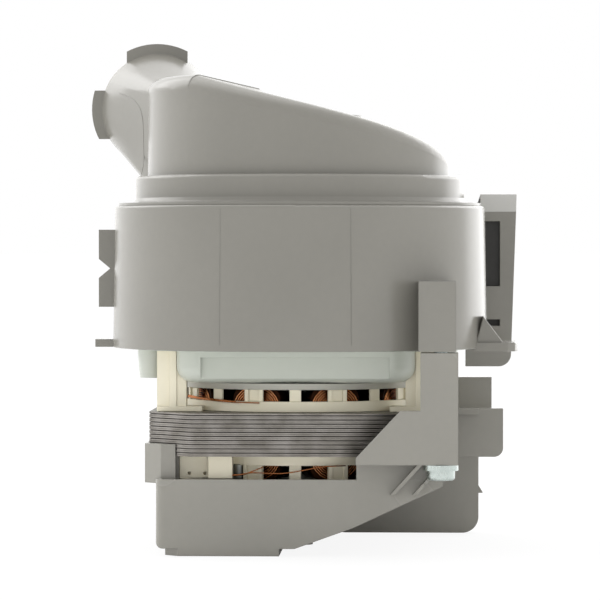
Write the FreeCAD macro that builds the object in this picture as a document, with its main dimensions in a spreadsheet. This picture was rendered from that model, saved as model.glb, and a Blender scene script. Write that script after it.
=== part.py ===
import FreeCAD, Part
import math
import os
import re
import Sketcher

# Dishwasher heater pump, in millimetres.
# +Z is up along the rotor's axis, and z = 0 is the surface that the pump stands on.
# +Y points away from the front, which has the cap screw at its right, and +X is to the right.
# The motor is at the bottom, the heated chamber in the middle and the spiral head on top.

SIZES = {
    # motor cap, the moulding under the motor
    "cap_left": 43.6,
    "cap_right": 46.4,
    "cap_front": 46.5,
    "cap_back": 45.5,
    "cap_corner": 3.0,
    "cap_foot_round": 2.2,
    "cap_wall": 2.0,
    "cap_floor": 2.0,
    "pad_height": 2.3,
    "pad_left": 40.8,
    "pad_right": -4.8,
    "pad_corner": 4.4,
    "cap_slope_foot": 18.6,
    "cap_slope_low": 9.0,
    "cap_slope_high": 22.0,
    "cap_rim": 24.0,
    "cap_boss_radius": 10.6,
    "cap_boss_low": 4.0,
    "cap_pin_radius": 4.2,
    "socket_radius": 2.4,
    "socket_depth": 6.0,
    "post_x": 39.8,
    "post_y": 34.4,
    "post_half": 3.0,
    "hook_low": 22.4,
    "hook_high": 34.8,
    "hook_corner": 5.5,
    "hook_reach": 47.6,
    "hook_back": 24.0,
    "hook_front": 42.0,
    "plate_left": 19.4,
    "plate_low": 29.2,
    "plate_step": 31.4,
    "plate_high": 46.0,
    "plate_shoulder": 33.1,
    "plate_front": 57.0,
    "plate_thickness": 2.0,
    "shelf": 1.8,
    "screw_column_inside": 6.3,
    "screw_column_outside": 5.4,
    "gusset_foot": 19.4,
    "gusset_width": 1.5,
    "gusset_run": 9.4,
    "gusset_first": 29.9,
    "gusset_pitch": 7.0,
    "wing_reach": 66.4,
    "wing_low": 27.3,
    "wing_high": 43.3,
    "wing_place": 20.5,
    "wing_thickness": 3.0,
    "wing_corner": 3.0,
    "wing_lip": 2.0,
    "wing_lip_reach": 58.2,
    "spacer_radius": 4.0,
    # stator
    "stack_half": 46.5,
    "stack_corner": 14.0,
    "stack_low": 31.1,
    "stack_high": 44.75,
    "stator_bore": 19.0,
    "yoke_radius": 38.0,
    "tooth_width": 7.0,
    "shoe_width": 11.0,
    "shoe_depth": 2.4,
    "tooth_count": 9,
    # insulators and windings
    "insulator_radius": 40.0,
    "insulator_wall": 2.2,
    "liner": 0.8,
    "upper_window_low": 48.0,
    "upper_window_high": 51.7,
    "upper_ring_high": 53.7,
    "lower_band": 3.2,
    "lower_window": 4.6,
    "lower_ring_low": 22.0,
    "rib_width": 3.7,
    "rib_pair_width": 6.3,
    "rib_groove": 3.7,
    "rib_groove_depth": 0.6,
    "rib_inset": 0.3,
    "column_left": 34.6,
    "column_right": 43.9,
    "column_front": 35.0,
    "column_depth": 5.4,
    "column_rib": 0.5,
    "column_rib_left": 37.7,
    "column_rib_right": 40.0,
    "outlet_left": 36.5,
    "outlet_right": 19.7,
    "outlet_front": 41.6,
    "outlet_hole": 0.5,
    "outlet_hole_high": 25.4,
    "coil_inner": 24.5,
    "coil_outer": 36.5,
    "coil_width": 16.0,
    "coil_head": 7.9,
    "coil_round": 4.0,
    "lead_radius": 0.35,
    # rotor can, the moulding between the water and the windings
    "pot_half_width": 37.9,
    "pot_half_depth": 42.0,
    "pot_low": 53.9,
    "pot_wall": 2.0,
    "pot_round": 5.2,
    "pot_corner": 9.0,
    "lobe_inner": 29.6,
    "panel_step": 1.6,
    "panel_high": 62.0,
    "can_flange_low": 64.0,
    "can_flange": 2.0,
    "can_flange_gap": 0.3,
    "can_radius": 18.6,
    "can_wall": 1.0,
    "can_low": 20.0,
    "cup_radius": 8.0,
    "cup_wall": 1.2,
    "cup_low": 11.0,
    "boss_radius": 5.0,
    "boss_tip": 4.2,
    "boss_x": 46.2,
    "boss_y": 22.0,
    "boss_low": 55.0,
    # drum jacket
    "drum_low": 64.3,
    "drum_high": 109.8,
    "drum_radius": 60.0,
    "drum_draft": 0.7,
    "drum_wall": 2.2,
    "drum_round": 0.8,
    "ledge_inner": 53.0,
    "ledge_low": 66.2,
    "ledge_high": 69.2,
    "seal_inner": 54.5,
    "seal_outer": 56.5,
    "seal_depth": 1.3,
    "screw_boss_inside": 6.9,
    "screw_boss_outside": 4.7,
    "screw_boss_depth": 20.0,
    "screw_boss_high": 86.1,
    "can_screw_boss_high": 77.0,
    "tab_reach": 65.5,
    "tab_low": 77.2,
    "tab_high": 102.3,
    "tab_thickness": 2.6,
    "notch_low": 86.6,
    "notch_high": 92.8,
    "notch_reach": 61.8,
    "foot_reach": 66.2,
    "foot_high": 66.8,
    "foot_half": 6.0,
    "ear_reach": 70.4,
    "ear_low": 63.4,
    "ear_high": 66.2,
    "ear_half": 5.0,
    "ear_hole": 2.2,
    "ear_gusset_top": 72.7,
    "ear_gusset_reach": 66.0,
    # pump head
    "head_flange_radius": 59.0,
    "head_flange": 1.0,
    "head_ring_radius": 53.3,
    "head_ring_high": 119.5,
    "head_round": 1.2,
    "head_cove": 1.6,
    "head_wall": 2.2,
    "dome_radius": 49.4,
    "deck_high": 121.5,
    "deck_inset": 0.5,
    "roof_start": 160.0,
    "roof_fall": 0.193,
    "roof_limit": 151.2,
    "roof_round": 4.8,
    "roof_dish": 3.6,
    "spiral_step": 10.0,
    "chamber_low": 113.0,
    "seal_pocket": 2.5,
    "seal_pocket_radius": 51.0,
    "collar_radius": 20.5,
    "collar_bore": 17.0,
    "collar_high": 139.2,
    "collar_low": 108.0,
    "nozzle_x": -49.5,
    "nozzle_z": 142.9,
    "nozzle_radius": 19.1,
    "nozzle_bore": 17.0,
    "neck_radius": 18.7,
    "neck_bore": 16.4,
    "nozzle_start": 38.0,
    "nozzle_end": 50.0,
    "channel_right": 28.3,
    "channel_straight": 8.0,
    "channel_round": 9.5,
    "lug_radius": 22.0,
    "lug_thickness": 3.0,
    "lug_half_width": 10.25,
    "lug_below": 9.9,
    "lug_above": 6.4,
    # heated chamber
    "heater_radius": 46.8,
    "heater_wall": 0.8,
    "heater_high": 109.0,
    "element_radius": 2.6,
    "element_low": 80.0,
    "element_pitch": 7.6,
    "element_turns": 3,
    "sensor_radius": 3.5,
    "sensor_z": 73.0,
    "sensor_reach": 66.0,
    "fuse_radius": 2.4,
    "fuse_length": 9.5,
    "fuse_angle": 30.0,
    "suction_radius": 17.5,
    "suction_bore": 15.5,
    "suction_low": 79.2,
    "suction_high": 118.0,
    "skirt_radius": 30.0,
    "skirt": 1.6,
    # pump wheel and its stationary vanes
    "wheel_radius": 30.0,
    "wheel_low": 68.0,
    "wheel_plate": 1.5,
    "blade_height": 7.5,
    "blade_width": 1.6,
    "blade_count": 6,
    "blade_inner": 11.0,
    "blade_lag": 12.0,
    "hub_radius": 6.0,
    "hub_low": 66.6,
    "hub_high": 75.6,
    "shroud": 1.5,
    "eye_radius": 14.3,
    "eye_wall": 1.6,
    "eye_high": 82.0,
    "vane_inner": 31.0,
    "vane_outer": 45.4,
    "vane_base": 1.5,
    "vane_height": 11.0,
    "vane_width": 1.8,
    "vane_count": 8,
    # shaft, bearings and rotor
    "shaft_radius": 3.0,
    "shaft_low": 12.6,
    "shaft_high": 75.0,
    "shaft_seat": 0.02,
    "running_gap": 0.05,
    "bearing_radius": 6.75,
    "rear_bearing_low": 12.8,
    "rear_bearing_high": 19.2,
    "front_bearing_low": 57.0,
    "front_bearing_high": 65.0,
    "bearing_hub": 10.0,
    "bearing_plate_low": 60.9,
    "bearing_plate_thickness": 2.5,
    "bearing_plate_radius": 33.3,
    "washer_radius": 5.8,
    "washer": 1.2,
    "washer_gap": 0.2,
    "rotor_low": 24.0,
    "rotor_high": 52.0,
    "rotor_hub_radius": 10.0,
    "magnet_low": 28.5,
    "magnet_high": 47.3,
    "magnet_radius": 17.0,
    # terminal carrier at the right of the drum
    "carrier_left": 56.5,
    "carrier_right": 71.0,
    "carrier_front": 27.0,
    "carrier_back": 40.0,
    "carrier_low": 57.0,
    "carrier_high": 114.2,
    "carrier_wall": 1.8,
    "carrier_corner": 4.0,
    "rail_root": 10.0,
    "rail_depth": 4.0,
    "rail_low": 74.0,
    "rail_high": 82.0,
    "top_rail_low": 105.8,
    "top_rail_high": 108.6,
    "window_right": 65.35,
    "window_low": 83.65,
    "window_high": 105.2,
    "slit_low": 70.5,
    "slit_high": 72.6,
    "block_left": 61.2,
    "block_low": 64.0,
    "block_high": 107.4,
    "blade_length": 7.5,
    "blade_tab": 6.3,
    "blade_tab_thickness": 0.8,
    "blade_first": 76.0,
    "blade_pitch": 14.0,
    # terminal box at the back
    "box_left": 8.0,
    "box_right": 58.6,
    "box_top_right": 63.0,
    "box_front": 47.0,
    "box_depth": 9.0,
    "box_wall": 1.8,
    "box_high": 52.7,
    "box_step": 26.0,
    "box_neck": 42.0,
    "box_corner": 5.5,
    "box_snap": 1.4,
    "box_snap_low": 13.4,
    "box_snap_high": 16.0,
    "box_snap_depth": 4.0,
    "connector_left": 28.0,
    "connector_right": 48.0,
    "connector_low": 7.0,
    "connector_high": 17.0,
    "connector_wall": 1.2,
    "pin_width": 1.0,
    "pin_pitch": 5.0,
    "pin_count": 3,
    # screws
    "screw_x": 45.7,
    "back_screw_x": 36.0,
    "screw_y": 52.1,
    "screw_radius": 2.0,
    "screw_head_radius": 4.4,
    "screw_head": 3.1,
    "screw_flange_radius": 5.45,
    "screw_flange": 1.8,
    "screw_length": 48.0,
    "screw_recess": 1.3,
    "screw_recess_depth": 1.6,
    "can_screw_radius": 1.5,
    "can_screw_head": 2.0,
    "can_screw_head_radius": 3.0,
    "can_screw_length": 17.0,
    "can_screw_sink": 2.4,
    # gaps between pieces that are assembled together
    "gap": 0.3,
    "seat": 0.1,
}

X_AXIS = FreeCAD.Vector(1, 0, 0)
Z_AXIS = FreeCAD.Vector(0, 0, 1)
CENTRE = FreeCAD.Vector(0, 0, 0)

document = FreeCAD.newDocument("HeaterPump")
sheet = document.addObject("Spreadsheet::Sheet", "Sizes")
for row, (alias, number) in enumerate(SIZES.items(), start=1):
    sheet.set(f"A{row}", alias)
    sheet.set(f"B{row}", str(number))
    sheet.setAlias(f"B{row}", alias)
document.recompute()

parts = []


def formula(text):
    """Put the sheet's name before each size that a formula names."""
    def named(word):
        return f"Sizes.{word[0]}" if word[0] in SIZES else word[0]
    return re.sub(r"[a-z_]+", named, str(text))


def number_of(text):
    """The number that a formula of sizes comes to."""
    return float(sheet.evalExpression(formula(text)))


def bind(item, **formulas):
    """Tie properties of an object to formulas of sizes."""
    for name, text in formulas.items():
        item.setExpression(name, formula(text))


def place(item, x="0", y="0", z="0", turn="0"):
    """Place an object by formulas: a point, and a turn about Z in degrees."""
    for axis, text in zip("xyz", (x, y, z)):
        item.setExpression(f"Placement.Base.{axis}", formula(text))
    if turn != "0":
        item.Placement.Rotation = FreeCAD.Rotation(Z_AXIS, 1)
        item.setExpression("Placement.Rotation.Angle", formula(turn))


# sketches and bodies


def new_body(name):
    return document.addObject("PartDesign::Body", name)


def origin_feature(body, role):
    return next(item for item in body.Origin.OriginFeatures if item.Role == role)


def new_sketch(body, plane, offset="0"):
    """A sketch on one of its body's own planes, at an offset along the plane's normal."""
    sketch = body.newObject("Sketcher::SketchObject", f"{body.Name}_sketch")
    sketch.AttachmentSupport = (origin_feature(body, plane), [""])
    sketch.MapMode = "FlatFace"
    sketch.setExpression("AttachmentOffset.Base.z", formula(offset))
    return sketch


def fix_point(sketch, edge, end, x, y):
    """Hold one point of a sketch at formulas of sizes."""
    for kind, text in (("DistanceX", x), ("DistanceY", y)):
        index = sketch.addConstraint(Sketcher.Constraint(kind, -1, 1, edge, end, number_of(text)))
        sketch.setExpression(f"Constraints[{index}]", formula(text))


def draw(sketch, corners):
    """Draw a closed outline of straight runs, held at each corner."""
    points = [FreeCAD.Vector(number_of(x), number_of(y), 0) for x, y in corners]
    first = sketch.GeometryCount
    count = len(points)
    for index in range(count):
        sketch.addGeometry(Part.LineSegment(points[index], points[(index + 1) % count]))
    for index, (x, y) in enumerate(corners):
        edge = first + index
        after = first + (index + 1) % count
        sketch.addConstraint(Sketcher.Constraint("Coincident", edge, 2, after, 1))
        fix_point(sketch, edge, 1, x, y)


def draw_circle(sketch, radius, x="0", y="0"):
    """Draw a circle held at its centre and radius."""
    centre = FreeCAD.Vector(number_of(x), number_of(y), 0)
    edge = sketch.addGeometry(Part.Circle(centre, Z_AXIS, number_of(radius)))
    index = sketch.addConstraint(Sketcher.Constraint("Radius", edge, number_of(radius)))
    sketch.setExpression(f"Constraints[{index}]", formula(radius))
    fix_point(sketch, edge, 3, x, y)


def rectangle(left, right, low, high):
    return [(left, low), (right, low), (right, high), (left, high)]


def along(plane, low, high):
    """Offsets of the near and far ends along a plane's normal, which is -Y for XZ_Plane."""
    if plane == "XZ_Plane":
        return f"-({high})", f"-({low})"
    return low, high


def pad(body, plane, outlines, low, high):
    """Add material between two heights along a plane's normal."""
    near, far = along(plane, low, high)
    sketch = new_sketch(body, plane, near)
    for outline in outlines:
        if isinstance(outline, dict):
            draw_circle(sketch, **outline)
        else:
            draw(sketch, outline)
    feature = body.newObject("PartDesign::Pad", f"{body.Name}_pad")
    feature.Profile = sketch
    bind(feature, Length=f"({far}) - ({near})")
    return feature


def pocket(body, plane, outlines, low, high):
    """Take material away between two heights along a plane's normal."""
    near, far = along(plane, low, high)
    sketch = new_sketch(body, plane, far)
    for outline in outlines:
        if isinstance(outline, dict):
            draw_circle(sketch, **outline)
        else:
            draw(sketch, outline)
    feature = body.newObject("PartDesign::Pocket", f"{body.Name}_pocket")
    feature.Profile = sketch
    bind(feature, Length=f"({far}) - ({near})")
    return feature


def around(body, feature, count):
    """Repeat a feature round the Z axis."""
    pattern = body.newObject("PartDesign::PolarPattern", f"{body.Name}_pattern")
    pattern.Originals = [feature]
    pattern.Axis = (origin_feature(body, "Z_Axis"), [""])
    pattern.Angle = 360
    bind(pattern, Occurrences=count)
    body.Tip = pattern
    document.recompute()
    return pattern


def turned(name, *profiles):
    """A body turned about Z from closed profiles of radius and height."""
    body = new_body(name)
    for profile in profiles:
        sketch = new_sketch(body, "XZ_Plane")
        draw(sketch, profile)
        feature = body.newObject("PartDesign::Revolution", f"{name}_turn")
        feature.Profile = sketch
        feature.ReferenceAxis = (sketch, ["V_Axis"])
        feature.Angle = 360
    document.recompute()
    return body


def ring(name, inner, outer, low, high):
    return turned(name, rectangle(inner, outer, low, high))


def prism(name, plane, outline, low, high):
    """A body with one outline, padded between two heights."""
    body = new_body(name)
    pad(body, plane, [outline], low, high)
    document.recompute()
    return body


# primitives and booleans


def block(name, x, y, z):
    """A rectangular block between pairs of faces."""
    item = document.addObject("Part::Box", name)
    low_corner = {}
    for side, axis, (low, high) in (("Length", "x", x), ("Width", "y", y), ("Height", "z", z)):
        item.setExpression(side, formula(f"({high}) - ({low})"))
        low_corner[axis] = low
    place(item, **low_corner)
    return item


def rod(name, radius, low, high, x="0", y="0"):
    """An upright round rod."""
    item = document.addObject("Part::Cylinder", name)
    bind(item, Radius=radius, Height=f"({high}) - ({low})")
    place(item, x, y, low)
    return item


def rod_back(name, radius, low, high, x="0", z="0"):
    """A round rod that runs towards the back, along +Y."""
    item = document.addObject("Part::Cylinder", name)
    bind(item, Radius=radius, Height=f"({high}) - ({low})")
    item.Placement.Rotation = FreeCAD.Rotation(X_AXIS, -90)
    place(item, x, low, z)
    return item


def joined(name, items):
    item = document.addObject("Part::MultiFuse", name)
    item.Shapes = items
    item.Refine = True
    document.recompute()
    return item


def less(name, base, tools):
    """A piece less one or more tools."""
    item = document.addObject("Part::Cut", name)
    item.Base = base
    item.Tool = tools[0] if len(tools) == 1 else joined(f"{name}_tools", tools)
    document.recompute()
    return item


def shared(name, first, second):
    item = document.addObject("Part::Common", name)
    item.Base = first
    item.Tool = second
    document.recompute()
    return item


def rounded(name, base, radius, choose):
    """Round the edges that a test picks out."""
    document.recompute()
    picked = [index for index, edge in enumerate(base.Shape.Edges, start=1) if choose(edge)]
    item = document.addObject("Part::Fillet", name)
    item.Base = base
    size = number_of(radius)
    item.Edges = [(index, size, size) for index in picked]
    document.recompute()
    return item


def group(name, items):
    """Separate solids that share one node."""
    item = document.addObject("Part::Compound", name)
    item.Links = items
    return item


def shaped(name, shape):
    """A piece whose shape is worked out from the sheet by the functions below."""
    item = document.addObject("Part::Feature", name)
    item.Shape = shape
    return item


def keep(item, label):
    """Hand in an object as the node of this name."""
    item.Label = label
    parts.append(item)


def is_vertical(edge):
    """A straight edge along Z."""
    start = edge.Vertexes[0].Point
    end = edge.Vertexes[-1].Point
    return start.distanceToPoint(end) > 0 and math.hypot(start.x - end.x, start.y - end.y) < 1e-6


def lies_at(edge, height):
    """An edge that lies in one level plane."""
    box = edge.BoundBox
    return abs(box.ZMin - height) < 1e-4 and abs(box.ZMax - height) < 1e-4


# motor cap


def cap_profile(wall, floor, top_low, top_high):
    """The cap seen from the front: level floor at the left, sloping up at the right."""
    return [
        (f"-cap_left + {wall}", f"pad_height + {floor}"),
        ("0", f"pad_height + {floor}"),
        ("cap_slope_foot", f"cap_slope_low + {floor}"),
        (f"cap_right - {wall}", f"cap_slope_high + {floor} - {wall} / 2"),
        (f"cap_right - {wall}", top_high),
        (f"plate_left + {wall}", top_high),
        (f"plate_left + {wall}", top_low),
        (f"-cap_left + {wall}", top_low),
    ]


def make_cap_tub():
    """An open tub under the windings, with small corners at its left."""
    side = prism("cap_side", "XZ_Plane",
                 cap_profile("0", "0", "cap_rim", "plate_low"), "-cap_front", "cap_back")
    left = -number_of("cap_left")
    soft_side = rounded("cap_soft_side", side, "cap_foot_round",
                        lambda edge: lies_at(edge, number_of("pad_height")) and edge.BoundBox.YLength > 1
                        and edge.BoundBox.XMin < left + 1)
    plan = block("cap_plan", ("-cap_left", "cap_right"), ("-cap_front", "cap_back"), ("0", "plate_high"))
    soft_plan = rounded("cap_soft_plan", plan, "cap_corner",
                        lambda edge: is_vertical(edge) and edge.BoundBox.XMax < left + 1)
    hollow_side = prism("cap_hollow_side", "XZ_Plane",
                        cap_profile("cap_wall", "cap_floor", "plate_high", "plate_high + cap_wall"),
                        "-cap_front + cap_wall", "cap_back - cap_wall")
    return less("cap_tub", shared("cap_outer", soft_side, soft_plan), [hollow_side])


def make_cap_hook():
    """The hook that holds the front left corner of the stack."""
    outer = [
        ("-hook_reach", "-hook_back"),
        ("-hook_reach", "-hook_front + hook_corner"),
        ("-hook_reach + hook_corner", "-hook_front"),
        ("-(2 * stack_half - stack_corner + gap * 1.5 - hook_front)", "-hook_front"),
    ]
    upper = prism("cap_hook_upper", "XY_Plane", outer + [
        ("-stack_half - gap", "-(stack_half - stack_corner + gap / 2)"),
        ("-stack_half - gap", "-hook_back"),
    ], "hook_low", "hook_high")
    lower = prism("cap_hook_lower", "XY_Plane", outer + [
        ("-cap_left + cap_wall", "-hook_front + 4"),
        ("-cap_left + cap_wall", "-hook_back"),
    ], "hook_low", "stack_low - seat")
    return [upper, lower]


def screw_column(name, side, screw):
    """An upright column in front of or behind the stack, for a cap screw."""
    across = sorted((f"{side} * ({screw} - screw_column_inside)", f"{side} * ({screw} + screw_column_outside)"),
                    key=number_of)
    depth = sorted((f"-{side} * plate_front", f"-{side} * (stack_half + gap)"), key=number_of)
    return block(name, across, depth, ("plate_low", "can_flange_low - seat"))


def make_cap_gussets():
    """Two slanting ribs on the front wall that deepen towards the plate's shelf."""
    top = "plate_low + shelf / 2"
    ribs = [
        prism(f"cap_rib_{index}", "XZ_Plane", [
            (f"gusset_first + {index} * gusset_pitch", "gusset_foot"),
            (f"gusset_first + {index} * gusset_pitch + gusset_width", "gusset_foot"),
            (f"gusset_first + {index} * gusset_pitch + gusset_width + gusset_run", top),
            (f"gusset_first + {index} * gusset_pitch + gusset_run", top),
        ], "-plate_front + shelf", "-cap_front + cap_wall / 2")
        for index in (0, 1)
    ]
    slope = prism("cap_rib_slope", "YZ_Plane", [
        ("-cap_front + cap_wall", "gusset_foot - 1"),
        ("-cap_front - cap_wall / 2", "gusset_foot - 1"),
        ("-plate_front + shelf", top),
        ("-cap_front + cap_wall", top),
    ], "gusset_first", "screw_x")
    return shared("cap_ribs", joined("cap_rib_pair", ribs), slope)


def make_cap_posts():
    """Four posts in the tub's corners that carry the stack."""
    posts = []
    for x in (-1, 1):
        for y in (-1, 1):
            posts.append(block(
                f"cap_post_{len(posts)}",
                (f"{x} * post_x - post_half", f"{x} * post_x + post_half"),
                (f"{y} * post_y - post_half", f"{y} * post_y + post_half"),
                ("pad_height", "stack_low"),
            ))
    limit = prism("cap_post_limit", "XZ_Plane", [
        ("-cap_left", "pad_height"),
        ("0", "pad_height"),
        ("cap_slope_foot", "cap_slope_low"),
        ("cap_right", "cap_slope_high"),
        ("cap_right", "stack_low"),
        ("-cap_left", "stack_low"),
    ], "-cap_front", "cap_back")
    return shared("cap_posts", joined("cap_all_posts", posts), limit)


def make_motor_cap():
    foot = prism("cap_foot", "XY_Plane", [
        ("-pad_left", "-cap_front + pad_corner"),
        ("-pad_left + pad_corner", "-cap_front"),
        ("pad_right", "-cap_front"),
        ("pad_right", "cap_back"),
        ("-pad_left", "cap_back"),
    ], "0", "pad_height")
    bosses = [
        rod("cap_boss", "cap_boss_radius", "cap_boss_low", "can_low - seat"),
        rod("cap_small_boss", "cap_pin_radius", "0", "cap_boss_low + cap_floor"),
    ]
    front_plate = prism("cap_plate", "XZ_Plane", [
        ("plate_left", "plate_low"),
        ("plate_left", "plate_step"),
        ("plate_shoulder", "plate_high"),
        ("screw_x + screw_column_outside", "plate_high"),
        ("screw_x + screw_column_outside", "plate_low"),
    ], "-plate_front", "-plate_front + plate_thickness")
    shelves = [
        block("cap_front_shelf", ("plate_left", "screw_x + screw_column_outside"),
              ("-plate_front", "-cap_front + cap_wall"), ("plate_low", "plate_low + shelf")),
        block("cap_back_shelf",
              ("-back_screw_x - screw_column_outside", "-back_screw_x + screw_column_inside"),
              ("cap_back - cap_wall", "plate_front"), ("plate_low", "plate_low + shelf")),
    ]
    back_web = block("cap_back_web",
                     ("-back_screw_x - screw_column_outside", "-back_screw_x + screw_column_inside"),
                     ("cap_back - cap_wall", "cap_back"), ("hook_low", "plate_low + shelf / 2"))
    spacers = [
        rod_back(f"cap_spacer_{index}", "spacer_radius", "cap_back - cap_wall", "box_front - seat",
                 f"box_left + box_corner + {index} * (cap_right - box_left - 2 * box_corner)",
                 "cap_slope_high - spacer_radius / 2")
        for index in (0, 1)
    ]
    solid = joined("cap_solid", [
        make_cap_tub(), foot, *bosses, make_cap_posts(), front_plate, *shelves, back_web,
        *make_cap_wing(), *make_cap_hook(),
        screw_column("cap_front_column", 1, "screw_x"),
        screw_column("cap_back_column", -1, "back_screw_x"),
        make_cap_gussets(),
        *spacers,
    ])
    bores = [
        rod("cap_front_bore", "screw_radius + gap", "0", "drum_low", "screw_x", "-screw_y"),
        rod("cap_back_bore", "screw_radius + gap", "0", "drum_low", "-back_screw_x", "screw_y"),
        rod("cap_screw_room", "screw_flange_radius + seat", "gusset_foot", "plate_low",
            "screw_x", "-screw_y"),
        rod("cap_socket", "socket_radius", "-1", "socket_depth"),
        rod("cap_cup_room", "cup_radius + gap", "cup_low - gap", "can_low"),
    ]
    keep(less("cap_finished", solid, bores), "motor_cap")


def make_cap_wing():
    """The upright wing plate at the right, with its lip and its root on the tub's wall."""
    far = "wing_place + wing_thickness"
    plate = prism("cap_wing_plate", "XZ_Plane", [
        ("stack_half + gap", "wing_low"),
        ("wing_reach", "wing_low"),
        ("wing_reach", "wing_high"),
        ("stack_half + gap", "wing_high"),
    ], "wing_place", far)
    low = number_of("wing_low")
    reach = number_of("wing_reach")
    soft = rounded("cap_wing_soft", plate, "wing_corner",
                   lambda edge: lies_at(edge, low) and edge.BoundBox.XMin > reach - 1)
    root = block("cap_wing_root", ("cap_right - cap_wall", "stack_half + wing_corner"),
                 ("wing_place", far), ("cap_slope_high", "plate_low"))
    lip = block("cap_wing_lip", ("stack_half + gap", "wing_lip_reach"),
                ("wing_place - wing_lip", "wing_place"), ("wing_high - wing_lip", "wing_high"))
    return [soft, root, lip]


# stator, insulators and windings


def make_stator_core():
    """Stacked sheets with nine wound teeth round the rotor's bore."""
    body = new_body("core")
    flat = "(stack_half - stack_corner)"
    octagon = []
    for x, y in ((-1, -1), (1, -1), (1, 1), (-1, 1)):
        pair = [(f"{x} * stack_half", f"{y} * {flat}"), (f"{x} * {flat}", f"{y} * stack_half")]
        octagon += pair if x * y > 0 else pair[::-1]
    pad(body, "XY_Plane", [octagon, {"radius": "yoke_radius"}], "stack_low", "stack_high")
    tooth = pad(body, "XY_Plane", [rectangle(
        "-tooth_width / 2", "tooth_width / 2", "stator_bore - 1", "yoke_radius + 1",
    )], "stack_low", "stack_high")
    around(body, tooth, "tooth_count")
    shoe = pad(body, "XY_Plane", [rectangle(
        "-shoe_width / 2", "shoe_width / 2", "stator_bore - 1", "stator_bore + shoe_depth",
    )], "stack_low", "stack_high")
    around(body, shoe, "tooth_count")
    pocket(body, "XY_Plane", [{"radius": "stator_bore"}], "stack_low", "stack_high")
    document.recompute()
    keep(body, "stator_core")


def insulator_body(name, low, high, window_low, window_high, cap_low, cap_high, guard_low, guard_high):
    """A ring of windows outside the coils, a guard inside them and a cap on each tooth."""
    body = turned(name,
                  rectangle("insulator_radius - insulator_wall", "insulator_radius", low, window_low),
                  rectangle("insulator_radius - insulator_wall", "insulator_radius", window_high, high))
    inner = "insulator_radius - insulator_wall + rib_inset"
    outer = "insulator_radius - rib_inset"
    single = pad(body, "XY_Plane", [rectangle("-rib_width / 2", "rib_width / 2", f"-({outer})",
                                              f"-({inner})")], window_low, window_high)
    around(body, single, "tooth_count")
    pair = pad(body, "XY_Plane", [[
        ("-rib_pair_width / 2", inner),
        ("rib_pair_width / 2", inner),
        ("rib_pair_width / 2", outer),
        ("rib_groove / 2", outer),
        ("rib_groove / 2", f"{outer} - rib_groove_depth"),
        ("-rib_groove / 2", f"{outer} - rib_groove_depth"),
        ("-rib_groove / 2", outer),
        ("-rib_pair_width / 2", outer),
    ]], window_low, window_high)
    around(body, pair, "tooth_count")
    tooth_cap = pad(body, "XY_Plane", [rectangle(
        "-tooth_width / 2 - liner", "tooth_width / 2 + liner", "stator_bore + gap",
        "insulator_radius - insulator_wall / 2",
    )], cap_low, cap_high)
    around(body, tooth_cap, "tooth_count")
    guard = pad(body, "XY_Plane", [rectangle(
        "-shoe_width / 2", "shoe_width / 2", "stator_bore + gap", "stator_bore + shoe_depth",
    )], guard_low, guard_high)
    around(body, guard, "tooth_count")
    return body


def make_upper_insulator():
    ring_body = insulator_body(
        "upper_ring", "stack_high", "upper_ring_high", "upper_window_low", "upper_window_high",
        "stack_high", "stack_high + liner", "stack_high", "upper_window_high")
    corners = new_body("upper_corners")
    webs = []
    columns = []
    for x in (-1, 1):
        for y in (-1, 1):
            near = f"{y} * (column_front - column_depth)"
            far = f"{y} * column_front"
            face = f"{y} * (column_front - column_rib)"
            columns.append([
                (f"{x} * column_left", near),
                (f"{x} * column_right", near),
                (f"{x} * column_right", face),
                (f"{x} * column_rib_right", face),
                (f"{x} * column_rib_right", far),
                (f"{x} * column_rib_left", far),
                (f"{x} * column_rib_left", face),
                (f"{x} * column_left", face),
            ])
            webs.append(rectangle(f"{x} * (insulator_radius * 0.74)", f"{x} * column_right",
                                  f"{y} * (insulator_radius * 0.62)", far))
    pad(corners, "XY_Plane", columns, "stack_high", "drum_low - seat - gap")
    document.recompute()
    feet = new_body("upper_feet")
    pad(feet, "XY_Plane", webs, "stack_high", "stack_high + liner * 2")
    document.recompute()
    keep(joined("upper_finished", [ring_body, corners, feet]), "upper_insulator")


def make_lower_insulator():
    ring_body = insulator_body(
        "lower_ring", "lower_ring_low", "stack_low", "stack_low - lower_band - lower_window",
        "stack_low - lower_band", "stack_low - liner", "stack_low",
        "stack_low - lower_band - lower_window / 2", "stack_low")
    outlet = block("lead_outlet", ("-outlet_left", "-outlet_right"),
                   ("-outlet_front", "-insulator_radius * 0.86"), ("cap_rim", "stack_low"))
    outlet_ring = rod("lead_outlet_round", "insulator_radius - insulator_wall / 2", "0", "stack_low")
    holes = [
        rod_back(f"lead_hole_{index}", "outlet_hole", "-outlet_front - 1", "-outlet_front + 2.4",
                 f"-outlet_left + 3 + {index} * 5", "outlet_hole_high")
        for index in (0, 1)
    ]
    outlet_less = less("lead_outlet_finished", outlet, [outlet_ring, *holes])
    keep(joined("lower_finished", [ring_body, outlet_less]), "lower_insulator")


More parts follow.
